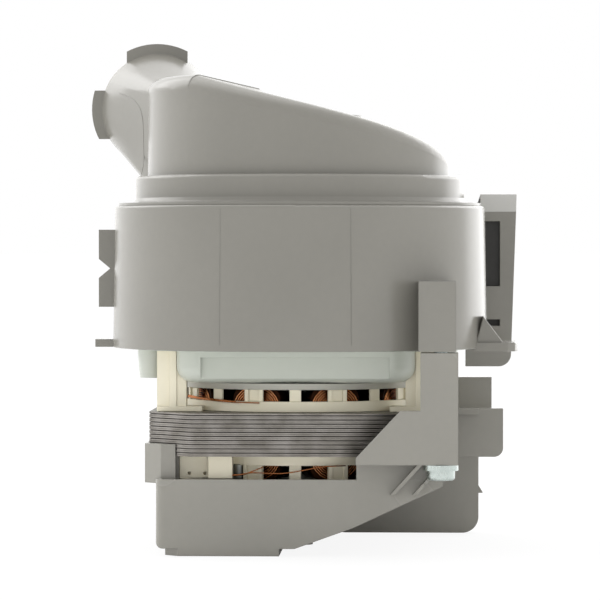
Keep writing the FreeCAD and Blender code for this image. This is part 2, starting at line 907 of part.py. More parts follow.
def make_coil(index):
    """Enamelled wire wound round one tooth, with rounded heads above and below."""
    height_low = "stack_low - coil_head"
    height_high = "stack_high + coil_head"
    outer = block(f"coil_outer_{index}", ("-coil_width / 2", "coil_width / 2"),
                  ("coil_inner", "coil_outer"), (height_low, height_high))
    top = number_of(height_high)
    bottom = number_of(height_low)

    def head_edge(edge):
        level = lies_at(edge, top) or lies_at(edge, bottom)
        return level and edge.BoundBox.YLength > 1
    soft = rounded(f"coil_soft_{index}", outer, "coil_round", head_edge)
    window = block(f"coil_window_{index}",
                   ("-tooth_width / 2 - liner - seat", "tooth_width / 2 + liner + seat"),
                   ("coil_inner - 1", "coil_outer + 1"),
                   ("stack_low - liner - seat", "stack_high + liner + seat"))
    coil = less(f"coil_finished_{index}", soft, [window])
    place(coil, turn=f"{index} * 360 / tooth_count")
    keep(coil, f"coil_{index + 1}")


def smooth_route(points, share=0.45):
    """Straight runs joined by tangent arcs as large as their two runs allow."""
    edges = []
    start = points[0]
    for before, corner, after in zip(points, points[1:], points[2:]):
        back = before - corner
        ahead = after - corner
        reach = share * min(back.Length, ahead.Length)
        back.normalize()
        ahead.normalize()
        enter = corner + back * reach
        leave = corner + ahead * reach
        half = back.getAngle(ahead) / 2
        radius = reach * math.tan(half)
        middle = back + ahead
        middle.normalize()
        centre = corner + middle * (radius / math.sin(half))
        edges.append(Part.LineSegment(start, enter).toShape())
        edges.append(Part.Arc(enter, centre - middle * radius, leave).toShape())
        start = leave
    edges.append(Part.LineSegment(start, points[-1]).toShape())
    return Part.Wire(edges)


def make_lead(index, places):
    """One winding wire along its route, given as formulas."""
    points = [FreeCAD.Vector(*[number_of(text) for text in place_at]) for place_at in places]
    route = smooth_route(points)
    direction = points[1] - points[0]
    circle = Part.Wire(Part.Circle(points[0], direction, number_of("lead_radius")).toShape())
    tube = route.makePipeShell([circle], True, False)
    return shaped(f"lead_{index}", tube)


def make_winding_leads():
    front = "-outlet_front + 1.2"
    ring_face = "-insulator_radius - lead_radius - seat"
    rim = "stack_high + 0.9"
    routes = [
        [("-outlet_right + lead_radius", front, "cap_rim + 1.6"),
         ("-outlet_right + 3.4", front, "cap_rim + 1.7"),
         ("-outlet_right + 7.6", "-insulator_radius - 1.9", "cap_rim + 2.9"),
         ("-outlet_right + 13", ring_face, "cap_rim + 3.9")],
        [("-outlet_right + lead_radius", "-outlet_front + 2.6", "cap_rim + 2.6"),
         ("-outlet_right + 5.4", "-outlet_front + 2.4", "cap_rim + 1.9"),
         ("-outlet_right + 12", ring_face, "cap_rim + 1.8"),
         ("0", "-insulator_radius - 0.9", "cap_rim + 2.3"),
         ("8.5", "-insulator_radius - 0.6", "cap_rim + 3.2"),
         ("15.4", "-insulator_radius * 0.94", "cap_rim + 4.2")],
        [("-33.4", "-outlet_front + 1.6", rim),
         ("-30.2", "-outlet_front + 1.9", f"{rim} + 0.8"),
         ("-26.4", "-outlet_front + 1.7", f"{rim} + 1.1"),
         ("-22.2", "-outlet_front + 1.9", f"{rim} + 0.9"),
         ("-18.6", "-outlet_front + 2.6", rim)],
    ]
    keep(group("leads", [make_lead(index, route) for index, route in enumerate(routes)]),
         "winding_leads")


# rotor can


def rounded_box(name, half_width, half_depth, low, high, corner):
    """A block centred on the axis, with round upright corners."""
    plain = block(f"{name}_plain", (f"-({half_width})", half_width),
                  (f"-({half_depth})", half_depth), (low, high))
    return rounded(name, plain, corner, is_vertical)


def make_rotor_can():
    """The white moulding: a pot for the front bearing and a thin can round the rotor."""
    pot_square = rounded_box("can_pot_square", "pot_half_width", "pot_half_depth",
                             "pot_low", "can_flange_low + can_flange / 2", "pot_corner")
    low = number_of("pot_low")
    pot = rounded("can_pot", pot_square, "pot_round", lambda edge: lies_at(edge, low))
    panels = [
        block(f"can_panel_{side}", ("-lobe_inner", "lobe_inner"), depth, ("0", "panel_high"))
        for side, depth in (
            ("front", ("-pot_half_depth - 1", "-pot_half_depth + panel_step")),
            ("back", ("pot_half_depth - panel_step", "pot_half_depth + 1")),
        )
    ]
    for x in (-1, 1):
        for y in (-1, 1):
            across = sorted((f"{x} * (column_left - gap)", f"{x} * (pot_half_width + 1)"), key=number_of)
            depth = sorted((f"{y} * (column_front - column_depth - gap)", f"{y} * (column_front + gap)"),
                           key=number_of)
            panels.append(block(f"can_column_room_{len(panels)}", across, depth, ("0", "can_flange_low")))
    flange = rod("can_flange_disc", "drum_radius - drum_wall - can_flange_gap",
                 "can_flange_low", "can_flange_low + can_flange")
    bosses = []
    bores = []
    for x in (-1, 1):
        for y in (-1, 1):
            cone = document.addObject("Part::Cone", f"can_boss_{len(bosses)}")
            bind(cone, Radius1="boss_tip", Radius2="boss_radius",
                 Height="can_flange_low - boss_low + can_flange / 2")
            place(cone, f"{x} * boss_x", f"{y} * boss_y", "boss_low")
            bosses.append(cone)
            bores.append(rod(f"can_sink_{len(bosses)}", "can_screw_head_radius + gap / 2",
                             "boss_low - 1", "boss_low + can_screw_sink"))
            place(bores[-1], f"{x} * boss_x", f"{y} * boss_y", "boss_low - 1")
            bores.append(rod(f"can_bore_{len(bosses)}", "can_screw_radius + gap / 2", "boss_low - 1",
                             "can_flange_low + can_flange + 1", f"{x} * boss_x", f"{y} * boss_y"))
    can = turned("can_tube", [
        ("0", "cup_low"),
        ("cup_radius", "cup_low"),
        ("cup_radius", "can_low"),
        ("can_radius", "can_low"),
        ("can_radius", "pot_low + pot_wall / 2"),
        ("0", "pot_low + pot_wall / 2"),
    ])
    cut_pot = less("can_pot_panelled", pot, panels)
    solid = joined("can_solid", [cut_pot, flange, can, *bosses])
    room = rounded_box("can_room", "pot_half_width - pot_wall - panel_step",
                       "pot_half_depth - pot_wall - panel_step",
                       "pot_low + pot_wall", "can_flange_low + can_flange + 1", "pot_corner - pot_wall")
    bore = turned("can_bore", [
        ("0", "cup_low + cup_wall"),
        ("cup_radius - cup_wall", "cup_low + cup_wall"),
        ("cup_radius - cup_wall", "can_low + can_wall"),
        ("can_radius - can_wall", "can_low + can_wall"),
        ("can_radius - can_wall", "pot_low + pot_wall + 1"),
        ("0", "pot_low + pot_wall + 1"),
    ])
    hollow = less("can_hollow", solid, [room, bore, *bores])
    seat_ring = ring("can_seat_ring", "bearing_plate_radius - 4", "bearing_plate_radius",
                     "pot_low + pot_wall / 2", "bearing_plate_low - seat")
    keep(joined("can_finished", [hollow, seat_ring]), "rotor_can")


# drum jacket


def drum_cone(name, inset, low, high):
    """A cone that follows the drum's draft, at an inset from its outer face."""
    return turned(name, [
        ("0", low),
        (f"drum_radius + drum_draft - {inset}", low),
        (f"drum_radius - {inset}", high),
        ("0", high),
    ])


def drum_screw_boss(name, side, screw):
    """A block outside the wall that takes a cap screw."""
    across = sorted((f"{side} * ({screw} - screw_boss_inside)", f"{side} * ({screw} + screw_boss_outside)"),
                    key=number_of)
    depth = sorted((f"-{side} * plate_front", f"-{side} * (plate_front - screw_boss_depth)"), key=number_of)
    return block(name, across, depth, ("drum_low", "screw_boss_high"))


def make_drum_jacket():
    sharp_wall = drum_cone("drum_sharp", "0", "drum_low", "drum_high")
    top = number_of("drum_high")
    wall = rounded("drum_outer", sharp_wall, "drum_round", lambda edge: lies_at(edge, top))
    thickness = ("-tab_thickness / 2", "tab_thickness / 2")
    tab = prism("drum_tab", "XZ_Plane", [
        ("-drum_radius + 1", "tab_low"),
        ("-tab_reach", "tab_low"),
        ("-tab_reach", "notch_low"),
        ("-notch_reach", "(notch_low + notch_high) / 2"),
        ("-tab_reach", "notch_high"),
        ("-tab_reach", "tab_high"),
        ("-drum_radius + 1", "tab_high"),
    ], *thickness)
    foot = block("drum_foot", ("-foot_reach", "-drum_radius + 2"), ("-foot_half", "foot_half"),
                 ("drum_low", "foot_high"))
    ear_plate = block("drum_ear_plate", ("drum_radius - 2", "ear_reach - ear_half"),
                      ("-ear_half", "ear_half"), ("ear_low", "ear_high"))
    ear_end = rod("drum_ear_end", "ear_half", "ear_low", "ear_high", "ear_reach - ear_half")
    ear_gusset = prism("drum_ear_gusset", "XZ_Plane", [
        ("drum_radius - 1", "ear_low + 1"),
        ("ear_gusset_reach", "ear_high"),
        ("drum_radius - 1", "ear_gusset_top"),
    ], *thickness)
    rails = [
        block(f"drum_rail_{low}", ("drum_radius - rail_root", "block_left - gap"),
              ("carrier_front + carrier_wall + seat", "carrier_front + carrier_wall + rail_depth"),
              (low, high))
        for low, high in (("rail_low", "rail_high"), ("top_rail_low", "top_rail_high"))
    ]
    solid = joined("drum_solid", [
        wall, tab, foot, ear_plate, ear_end, ear_gusset, *rails,
        drum_screw_boss("drum_front_boss", 1, "screw_x"),
        drum_screw_boss("drum_back_boss", -1, "back_screw_x"),
    ])
    inside = drum_cone("drum_inside", "drum_wall", "ear_low - 1", "drum_high + 1")
    shell = less("drum_shell", solid, [inside])
    ledge = ring("drum_ledge", "ledge_inner", "drum_radius - drum_wall / 2", "ledge_low", "ledge_high")
    bosses = []
    bores = [
        rod("drum_ear_bore", "ear_hole", "ear_low - 1", "ear_high + 1", "ear_reach - ear_half"),
    ]
    for x in (-1, 1):
        for y in (-1, 1):
            spot = (f"{x} * boss_x", f"{y} * boss_y")
            bosses.append(rod(f"drum_can_boss_{len(bosses)}", "boss_tip", "ledge_low",
                              "can_screw_boss_high", *spot))
            bores.append(rod(f"drum_can_bore_{len(bosses)}", "can_screw_radius + seat", "ledge_low - 1",
                             "can_screw_boss_high - drum_wall / 2", *spot))
    bores.append(rod("drum_front_bore", "screw_radius + seat", "drum_low - 1",
                     "screw_boss_high - drum_wall", "screw_x", "-screw_y"))
    bores.append(rod("drum_back_bore", "screw_radius + seat", "drum_low - 1",
                     "screw_boss_high - drum_wall", "-back_screw_x", "screw_y"))
    bores.append(rod_back("drum_sensor_bore", "sensor_radius + seat", "drum_radius / 2",
                          "drum_radius + 4", "0", "sensor_z"))
    bores.append(ring("drum_seal_groove", "seal_inner - seat", "seal_outer + seat",
                      "ledge_low - 1", "ledge_low + seal_depth"))
    keep(less("drum_finished", joined("drum_whole", [shell, ledge, *bosses]), bores), "drum_jacket")


# pump head


def turned_point(radius, turn, height):
    """A point of the spiral: the turn runs from -X through the front to +X, in degrees."""
    angle = math.radians(turn)
    return FreeCAD.Vector(-radius * math.cos(angle), -radius * math.sin(angle), height)


def spiral_section(turn, inset, inner):
    """A radial section of the spiral chamber, with a rounded outer top edge."""
    outer = number_of("dome_radius") - inset
    fallen = number_of("roof_start") - number_of("roof_fall") * turn
    top = min(number_of("roof_limit"), fallen) - inset
    low = number_of("chamber_low")
    edge = number_of("roof_round") - inset
    across = edge * (1 - math.sqrt(0.5))
    points = [turned_point(radius, turn, height) for radius, height in (
        (inner, low), (outer, low), (outer, top - edge), (outer - across, top - across),
        (outer - edge, top), (inner, top - number_of("roof_dish")))]
    return Part.Wire([
        Part.LineSegment(points[0], points[1]).toShape(),
        Part.LineSegment(points[1], points[2]).toShape(),
        Part.Arc(points[2], points[3], points[4]).toShape(),
        Part.LineSegment(points[4], points[5]).toShape(),
        Part.LineSegment(points[5], points[0]).toShape(),
    ])


def spiral_solid(inset, inner):
    """The spiral chamber: a level stretch at the outlet, then a roof that falls evenly."""
    level_turn = (number_of("roof_start") - number_of("roof_limit")) / number_of("roof_fall")
    last_turn = (number_of("roof_start") - number_of("deck_high")) / number_of("roof_fall")
    level = Part.Face(spiral_section(0, inset, inner)).revolve(CENTRE, Z_AXIS, level_turn + 1)
    steps = max(4, round((last_turn - level_turn) / number_of("spiral_step")))
    turns = [level_turn + (last_turn - level_turn) * index / steps for index in range(steps + 1)]
    falling = Part.makeLoft([spiral_section(turn, inset, inner) for turn in turns], True, False)
    return [level, falling]


def rounded_frame(left, right, low, high, corner, wide_corner, depth):
    """A rectangle with round corners, the upper right one wider, that starts at its lower right."""
    def at(x, z):
        return FreeCAD.Vector(x, depth, z)
    edges = []
    corners = ((right, low, -1, 1, corner), (right, high, -1, -1, wide_corner),
               (left, high, 1, -1, corner), (left, low, 1, 1, corner))
    upright = True
    last = at(right - corner, low)
    first = last
    for x, z, inward, upward, size in corners:
        bend = size * (1 - math.sqrt(0.5))
        on_level = at(x + inward * size, z)
        on_side = at(x, z + upward * size)
        start, end = (on_level, on_side) if upright else (on_side, on_level)
        if last.distanceToPoint(start) > 1e-6:
            edges.append(Part.LineSegment(last, start).toShape())
        edges.append(Part.Arc(start, at(x + inward * bend, z + upward * bend), end).toShape())
        last = end
        upright = not upright
    edges.append(Part.LineSegment(last, first).toShape())
    return Part.Wire(edges)


def round_frame(x, z, radius, depth):
    """A circle in the same eight edges, so that it lofts to a rounded rectangle."""
    def at(angle):
        spread = math.radians(angle)
        return FreeCAD.Vector(x + radius * math.cos(spread), depth, z + radius * math.sin(spread))
    stops = [-60, -30, 30, 60, 120, 150, 210, 240, 300]
    edges = [
        Part.Arc(at(start), at((start + end) / 2), at(end)).toShape()
        for start, end in zip(stops, stops[1:])
    ]
    return Part.Wire(edges)


def channel_solid(inset, bore):
    """The duct that leaves the spiral at the left and turns into the round outlet."""
    left = -number_of("dome_radius") + inset
    right = -number_of("channel_right") - inset
    low = number_of("chamber_low") + inset
    high = number_of("roof_limit") - inset
    corner = number_of("roof_round") - inset
    end = number_of("nozzle_start")
    wide_corner = number_of("channel_round") - inset
    start = rounded_frame(left, right, low, high, corner, wide_corner, 0)
    after = rounded_frame(left, right, low, high, corner, wide_corner, number_of("channel_straight"))
    last = round_frame(number_of("nozzle_x"), number_of("nozzle_z"), bore, end)
    straight_duct = Part.makeLoft([start, after], True, True)
    flared_duct = Part.makeLoft([after, last], True, True)
    return [straight_duct, flared_duct]


def cone_back(name, start_radius, end_radius):
    """The outlet's widening behind its neck, hidden by the lugs' thickness."""
    cone = document.addObject("Part::Cone", name)
    bind(cone, Radius1=start_radius, Radius2=end_radius, Height="lug_thickness")
    cone.Placement.Rotation = FreeCAD.Rotation(X_AXIS, -90)
    place(cone, "nozzle_x", "nozzle_start", "nozzle_z")
    return cone


def make_nozzle_lugs():
    """Three bayonet lugs round the outlet, above it and at its two sides."""
    low = "nozzle_start"
    high = "nozzle_start + lug_thickness"
    disc = rod_back("lug_disc", "lug_radius", low, high, "nozzle_x", "nozzle_z")
    upright = block("lug_upright", ("nozzle_x - lug_half_width", "nozzle_x + lug_half_width"),
                    (low, high), ("nozzle_z", "nozzle_z + lug_radius + 1"))
    level = block("lug_level", ("nozzle_x - lug_radius - 1", "nozzle_x + lug_radius + 1"),
                  (low, high), ("nozzle_z - lug_below", "nozzle_z + lug_above"))
    return shared("lugs", disc, joined("lug_cross", [upright, level]))


def make_pump_head():
    sharp_base = turned("head_sharp_base", [
        ("0", "drum_high"),
        ("head_flange_radius", "drum_high"),
        ("head_flange_radius", "drum_high + head_flange"),
        ("head_ring_radius + head_cove", "drum_high + head_flange"),
        ("head_ring_radius + head_cove * 0.3", "drum_high + head_flange + head_cove * 0.3"),
        ("head_ring_radius", "drum_high + head_flange + head_cove"),
        ("head_ring_radius", "head_ring_high"),
        ("dome_radius - deck_inset", "head_ring_high"),
        ("dome_radius - deck_inset", "deck_high"),
        ("0", "deck_high"),
    ])
    ring_top = number_of("head_ring_high")
    ring_width = 2 * number_of("head_ring_radius - gap")
    base = rounded("head_base", sharp_base, "head_round",
                   lambda edge: lies_at(edge, ring_top) and edge.BoundBox.XLength > ring_width)
    base_room = turned("head_base_room", [
        ("0", "drum_high - 1"),
        ("seal_pocket_radius", "drum_high - 1"),
        ("seal_pocket_radius", "drum_high + seal_pocket"),
        ("dome_radius - head_wall - deck_inset", "drum_high + seal_pocket"),
        ("dome_radius - head_wall - deck_inset", "deck_high - head_wall"),
        ("0", "deck_high - head_wall"),
    ])
    wall = number_of("head_wall")
    collar = number_of("collar_radius")
    outer = [shaped(f"head_outer_{index}", shape) for index, shape in enumerate(
        spiral_solid(0, collar - wall) + channel_solid(0, number_of("neck_radius")))]
    inner = [shaped(f"head_inner_{index}", shape) for index, shape in enumerate(
        spiral_solid(wall, collar - wall / 4) + channel_solid(wall, number_of("neck_bore")))]
    shoulders = [
        cone_back("head_shoulder", "neck_radius", "nozzle_radius"),
        cone_back("head_shoulder_room", "neck_bore", "nozzle_bore"),
    ]
    barrel = rod_back("head_barrel", "nozzle_radius", "nozzle_start + lug_thickness", "nozzle_end",
                      "nozzle_x", "nozzle_z")
    end_wall = block("head_end_wall", ("-channel_right - head_wall / 2", "-collar_radius + head_wall / 2"),
                     ("-head_wall", "head_wall"), ("chamber_low + head_wall / 2", "roof_limit - roof_dish"))
    solid = joined("head_solid", [base, *outer, end_wall, shoulders[0], barrel, make_nozzle_lugs(),
                                  rod("head_collar_core", "collar_radius", "chamber_low", "collar_high")])
    outlet = rod_back("head_outlet", "nozzle_bore", "nozzle_start + lug_thickness", "nozzle_end + 1",
                      "nozzle_x", "nozzle_z")
    shell = less("head_shell", solid, [base_room, *inner, shoulders[1], outlet])
    collar_tube = rod("head_collar", "collar_radius", "collar_low", "collar_high")
    whole = joined("head_whole", [shell, collar_tube])
    shoulder = "suction_high + seat"
    suction = turned("head_suction", [
        ("0", "collar_low - 1"),
        ("suction_radius + seat", "collar_low - 1"),
        ("suction_radius + seat", shoulder),
        ("collar_bore", shoulder),
        ("collar_bore", "collar_high + 1"),
        ("0", "collar_high + 1"),
    ])
    keep(less("head_finished", whole, [suction]), "pump_head")


# heated chamber


def make_heated_chamber():
    floor = "can_flange_low + can_flange + seat"
    keep(ring("heater_sleeve", "heater_radius - heater_wall", "heater_radius", floor, "heater_high"),
         "heater_tube")
    keep(ring("head_gasket", "heater_radius - heater_wall - 1", "seal_pocket_radius - seat",
              "heater_high + seat", "drum_high + seal_pocket - seat"), "head_seal")
    keep(ring("flange_gasket", "seal_inner", "seal_outer", "can_flange_low + can_flange + seat / 2",
              "ledge_low + seal_depth - seat"), "flange_seal")
    spine = document.addObject("Part::Helix", "element_spine")
    reach = "heater_radius + element_radius + seat"
    bind(spine, Radius=reach, Pitch="element_pitch", Height="element_pitch * element_turns")
    place(spine, z="element_low")
    spine.SegmentLength = 0.5
    profile = document.addObject("Part::Circle", "element_profile")
    bind(profile, Radius="element_radius")
    profile.Placement.Rotation = FreeCAD.Rotation(X_AXIS, 90)
    place(profile, x=reach, z="element_low")
    element = document.addObject("Part::Sweep", "element")
    element.Sections = [profile]
    element.Spine = (spine, [])
    element.Solid = True
    element.Frenet = True
    keep(element, "heating_element")
    keep(rod_back("sensor_probe", "sensor_radius", "heater_radius + seat", "sensor_reach", "0",
                  "sensor_z"), "temperature_sensor")
    fuses = []
    for side in (-1, 1):
        turn = f"(90 + {side} * fuse_angle)"
        away = "(heater_radius + fuse_radius + seat)"
        fuses.append(rod(f"fuse_{len(fuses)}", "fuse_radius", floor, f"{floor} + fuse_length",
                         f"{away} * cos({turn})", f"{away} * sin({turn})"))
    keep(group("fuses", fuses), "thermal_fuses")
    keep(turned("suction_pipe", [
        ("suction_bore", "suction_low"),
        ("skirt_radius", "suction_low"),
        ("skirt_radius", "suction_low + skirt"),
        ("suction_radius", "suction_low + skirt"),
        ("suction_radius", "suction_high"),
        ("suction_bore", "suction_high"),
    ]), "suction_tube")


def make_diffuser():
    """Stationary vanes round the pump wheel, on a flat ring."""
    low = "can_flange_low + can_flange + seat"
    body = ring("diffuser_ring", "vane_inner", "vane_outer", low, f"{low} + vane_base")
    vane = pad(body, "XY_Plane", [[
        ("vane_inner + 1.5", "0"),
        ("vane_outer - 3", "7"),
        ("vane_outer - 3 - vane_width", "7 + vane_width"),
        ("vane_inner + 1.5 - vane_width / 4", "vane_width"),
    ]], low, f"{low} + vane_base + vane_height")
    around(body, vane, "vane_count")
    keep(body, "diffuser")


# bearings and rotor


def make_bearings():
    keep(ring("rear_bush", "shaft_radius + running_gap", "bearing_radius", "rear_bearing_low",
              "rear_bearing_high"), "rear_bearing")
    keep(ring("front_bush", "shaft_radius + running_gap", "bearing_radius", "front_bearing_low",
              "front_bearing_high"), "front_bearing")
    top = "bearing_plate_low + bearing_plate_thickness"
    keep(turned("bearing_carrier", [
        ("bearing_radius + running_gap", "front_bearing_low"),
        ("bearing_hub", "front_bearing_low"),
        ("bearing_hub", "bearing_plate_low"),
        ("bearing_plate_radius - gap", "bearing_plate_low"),
        ("bearing_plate_radius - gap", top),
        ("bearing_hub", top),
        ("bearing_hub", "front_bearing_high - seat"),
        ("bearing_radius + running_gap", "front_bearing_high - seat"),
    ]), "bearing_plate")


def make_rotor():
    keep(rod("axle", "shaft_radius", "shaft_low", "shaft_high"), "shaft")
    keep(ring("rotor_sleeve", "shaft_radius + shaft_seat", "rotor_hub_radius", "rotor_low",
              "rotor_high"), "rotor_hub")
    keep(ring("rotor_ring", "rotor_hub_radius + shaft_seat", "magnet_radius", "magnet_low",
              "magnet_high"), "rotor_magnet")
    washers = [
        ring(f"washer_{index}", "shaft_radius + shaft_seat", "washer_radius", low, f"{low} + washer")
        for index, low in enumerate(
            ("rear_bearing_high + washer_gap", "front_bearing_high + washer_gap"))
    ]
    keep(group("washers", washers), "thrust_washers")


def make_impeller():
    """A hub, a back plate and backward-swept blades."""
    body = turned("wheel", [
        ("shaft_radius + shaft_seat", "hub_low"),
        ("hub_radius", "hub_low"),
        ("hub_radius", "wheel_low"),
        ("wheel_radius", "wheel_low"),
        ("wheel_radius", "wheel_low + wheel_plate"),
        ("hub_radius", "wheel_low + wheel_plate"),
        ("hub_radius", "hub_high"),
        ("shaft_radius + shaft_seat", "hub_high"),
    ])
    blade = pad(body, "XY_Plane", [[
        ("blade_inner", "0"),
        ("(blade_inner + wheel_radius) / 2", "-blade_lag / 4"),
        ("wheel_radius - 3", "-blade_lag"),
        ("wheel_radius - 3 - blade_width", "-blade_lag - blade_width / 2"),
        ("(blade_inner + wheel_radius) / 2 - blade_width / 2", "-blade_lag / 4 - blade_width"),
        ("blade_inner", "-blade_width"),
    ]], "wheel_low + wheel_plate / 2", "wheel_low + wheel_plate + blade_height")
    around(body, blade, "blade_count")
    keep(body, "impeller")
    low = "wheel_low + wheel_plate + blade_height + shaft_seat"
    keep(turned("wheel_cover", [
        ("eye_radius - eye_wall", low),
        ("wheel_radius", low),
        ("wheel_radius", f"{low} + shroud"),
        ("eye_radius", f"{low} + shroud"),
        ("eye_radius", "eye_high"),
        ("eye_radius - eye_wall", "eye_high"),
    ]), "impeller_shroud")


# terminals


def make_terminal_carrier():
    """A tall housing beside the drum, open at its back, with windows in its front."""
    outer = block("carrier_outer", ("carrier_left", "carrier_right"),
                  ("carrier_front", "carrier_back"), ("carrier_low", "carrier_high"))
    right = number_of("carrier_right")
    low = number_of("carrier_low")

    def foot_corner(edge):
        box = edge.BoundBox
        return lies_at(edge, low) and box.YLength > 1 and abs(box.XMin - right) < 1e-4
    soft = rounded("carrier_soft", outer, "carrier_corner", foot_corner)
    room = block("carrier_room", ("carrier_left - 1", "carrier_right - carrier_wall"),
                 ("carrier_front + carrier_wall", "carrier_back + 1"),
                 ("carrier_low + carrier_wall", "carrier_high - carrier_wall"))
    window = block("carrier_window", ("carrier_left + carrier_wall", "window_right"),
                   ("carrier_front - 1", "carrier_back"), ("window_low", "window_high"))
    slit = block("carrier_slit", ("carrier_left + carrier_wall", "window_right - carrier_wall"),
                 ("carrier_front - 1", "carrier_back"), ("slit_low", "slit_high"))
    drum_room = rod("carrier_drum_room", "drum_radius + drum_draft + seat", "carrier_low - 1",
                    "carrier_high + 1")
    keep(less("carrier_finished", soft, [room, window, slit, drum_room]), "terminal_carrier")
    front = "carrier_front + carrier_wall + seat"
    back = "carrier_back - carrier_wall"
    keep(block("carrier_block", ("block_left", "carrier_right - carrier_wall - seat"), (front, back),
               ("block_low", "block_high")), "terminal_block")
    blades = []
    for index in range(2):
        middle = "(block_left + carrier_right - carrier_wall) / 2"
        foot = f"blade_first + {index} * blade_pitch"
        blades.append(block(
            f"blade_{index}",
            (f"{middle} - blade_tab_thickness / 2", f"{middle} + blade_tab_thickness / 2"),
            (f"{back} + seat / 2", f"{back} + blade_length"), (foot, f"{foot} + blade_tab")))
    keep(group("blades", blades), "heater_terminals")


def make_terminal_box():
    """A shallow housing at the back right, open at its back, for the motor's plug."""
    back = "box_front + box_depth"
    outline = [
        ("box_left", "0"),
        ("box_right", "0"),
        ("box_right", "box_neck"),
        ("box_top_right", "box_neck"),
        ("box_top_right", "box_high"),
        ("box_left + box_corner", "box_high"),
        ("box_left + box_corner", "box_step"),
        ("box_left", "box_step"),
    ]
    plain = prism("box_plain", "XZ_Plane", outline, "box_front", back)

    def foot_corner(edge):
        return lies_at(edge, 0) and edge.BoundBox.YLength > 1
    outer = rounded("box_outer", plain, "box_corner", foot_corner)
    lower_room = block("box_lower_room", ("box_left + box_wall", "box_right - box_wall"),
                       ("box_front + box_wall", f"{back} + 1"),
                       ("box_corner", "box_step - box_wall"))
    upper_room = block("box_upper_room", ("box_left + box_corner + box_wall", "box_right - box_wall"),
                       ("box_front + box_wall", f"{back} + 1"), ("box_step", "box_high - box_wall"))
    snap = prism("box_snap", "XZ_Plane", [
        ("box_right - box_wall / 2", "box_snap_low"),
        ("box_right + box_snap", "box_snap_low"),
        ("box_right + box_snap", "box_snap_low + box_snap / 4"),
        ("box_right", "box_snap_high"),
        ("box_right - box_wall / 2", "box_snap_high"),
    ], "box_front + box_wall", "box_front + box_wall + box_snap_depth")
    keep(less("box_finished", joined("box_whole", [outer, snap]), [lower_room, upper_room]),
         "terminal_box")
    floor = "box_front + box_wall + seat"
    shell = block("plug_outer", ("connector_left", "connector_right"), (floor, back),
                  ("connector_low", "connector_high"))
    room = block("plug_room", ("connector_left + connector_wall", "connector_right - connector_wall"),
                 (f"{floor} + connector_wall", f"{back} + 1"),
                 ("connector_low + connector_wall", "connector_high - connector_wall"))
    keep(less("plug_finished", shell, [room]), "motor_connector")
    pins = []
    middle = "(connector_low + connector_high) / 2"
    for index in range(int(number_of("pin_count"))):
        left = (f"(connector_left + connector_right) / 2 + ({index} - (pin_count - 1) / 2) * pin_pitch"
                " - pin_width / 2")
        pins.append(block(f"pin_{index}", (left, f"{left} + pin_width"),
                          (f"{floor} + connector_wall + seat / 2", f"{back} - connector_wall"),
                          (f"{middle} - pin_width", f"{middle} + pin_width")))
    keep(group("pins", pins), "connector_pins")


# screws


def make_cap_screw(index, x, y):
    """A pan head screw with a washer face and a cross recess, driven from below."""
    top = "plate_low - seat / 2"
    shank = rod(f"screw_shank_{index}", "screw_radius", top, f"{top} + screw_length", x, y)
    flange = rod(f"screw_flange_{index}", "screw_flange_radius", f"{top} - screw_flange", top, x, y)
    head = rod(f"screw_head_{index}", "screw_head_radius", f"{top} - screw_flange - screw_head",
               f"{top} - screw_flange / 2", x, y)
    low = number_of(f"{top} - screw_flange - screw_head")
    solid = joined(f"screw_plain_{index}", [shank, flange, head])
    soft = rounded(f"screw_soft_{index}", solid, "screw_head / 3", lambda edge: lies_at(edge, low))
    depth = (f"{top} - screw_flange - screw_head - 1",
             f"{top} - screw_flange - screw_head + screw_recess_depth")
    arm = "screw_recess * 2"
    slots = [
        block(f"screw_slot_{index}_0", (f"{x} - {arm}", f"{x} + {arm}"),
              (f"{y} - screw_recess / 2", f"{y} + screw_recess / 2"), depth),
        block(f"screw_slot_{index}_1", (f"{x} - screw_recess / 2", f"{x} + screw_recess / 2"),
              (f"{y} - {arm}", f"{y} + {arm}"), depth),
    ]
    return less(f"screw_{index}", soft, slots)


def make_screws():
    keep(group("cap_screw_pair", [
        make_cap_screw(0, "screw_x", "-screw_y"),
        make_cap_screw(1, "-back_screw_x", "screw_y"),
    ]), "cap_screws")
    small = []
    for x in (-1, 1):
        for y in (-1, 1):
            spot = (f"{x} * boss_x", f"{y} * boss_y")
            index = len(small)
            top = "boss_low + can_screw_sink - seat / 2"
            shank = rod(f"small_shank_{index}", "can_screw_radius", top, f"{top} + can_screw_length", *spot)
            head = rod(f"small_head_{index}", "can_screw_head_radius",
                       f"{top} - can_screw_head", top, *spot)
            small.append(joined(f"small_screw_{index}", [shank, head]))
    keep(group("small_screws", small), "can_screws")


# the whole pump

make_motor_cap()
make_stator_core()
make_upper_insulator()
make_lower_insulator()
for coil_index in range(int(number_of("tooth_count"))):
    make_coil(coil_index)
make_winding_leads()
make_rotor_can()
make_drum_jacket()
make_pump_head()
make_heated_chamber()
make_diffuser()
make_bearings()
make_rotor()
make_impeller()
make_terminal_carrier()
make_terminal_box()
make_screws()
document.recompute()

for item in document.Objects:
    faults = [state for state in item.State if state in ("Invalid", "Error")]
    if faults:
        raise RuntimeError(f"{item.Label} is {faults}")
os.makedirs("parts", exist_ok=True)
for item in parts:
    if item.Shape.isNull() or not item.Shape.isValid() or not item.Shape.Solids:
        raise RuntimeError(f"{item.Label} has no valid solid")
    item.Shape.exportStep(f"parts/{item.Label}.step")
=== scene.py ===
"""Looks of the dishwasher heater pump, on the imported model."""
import math

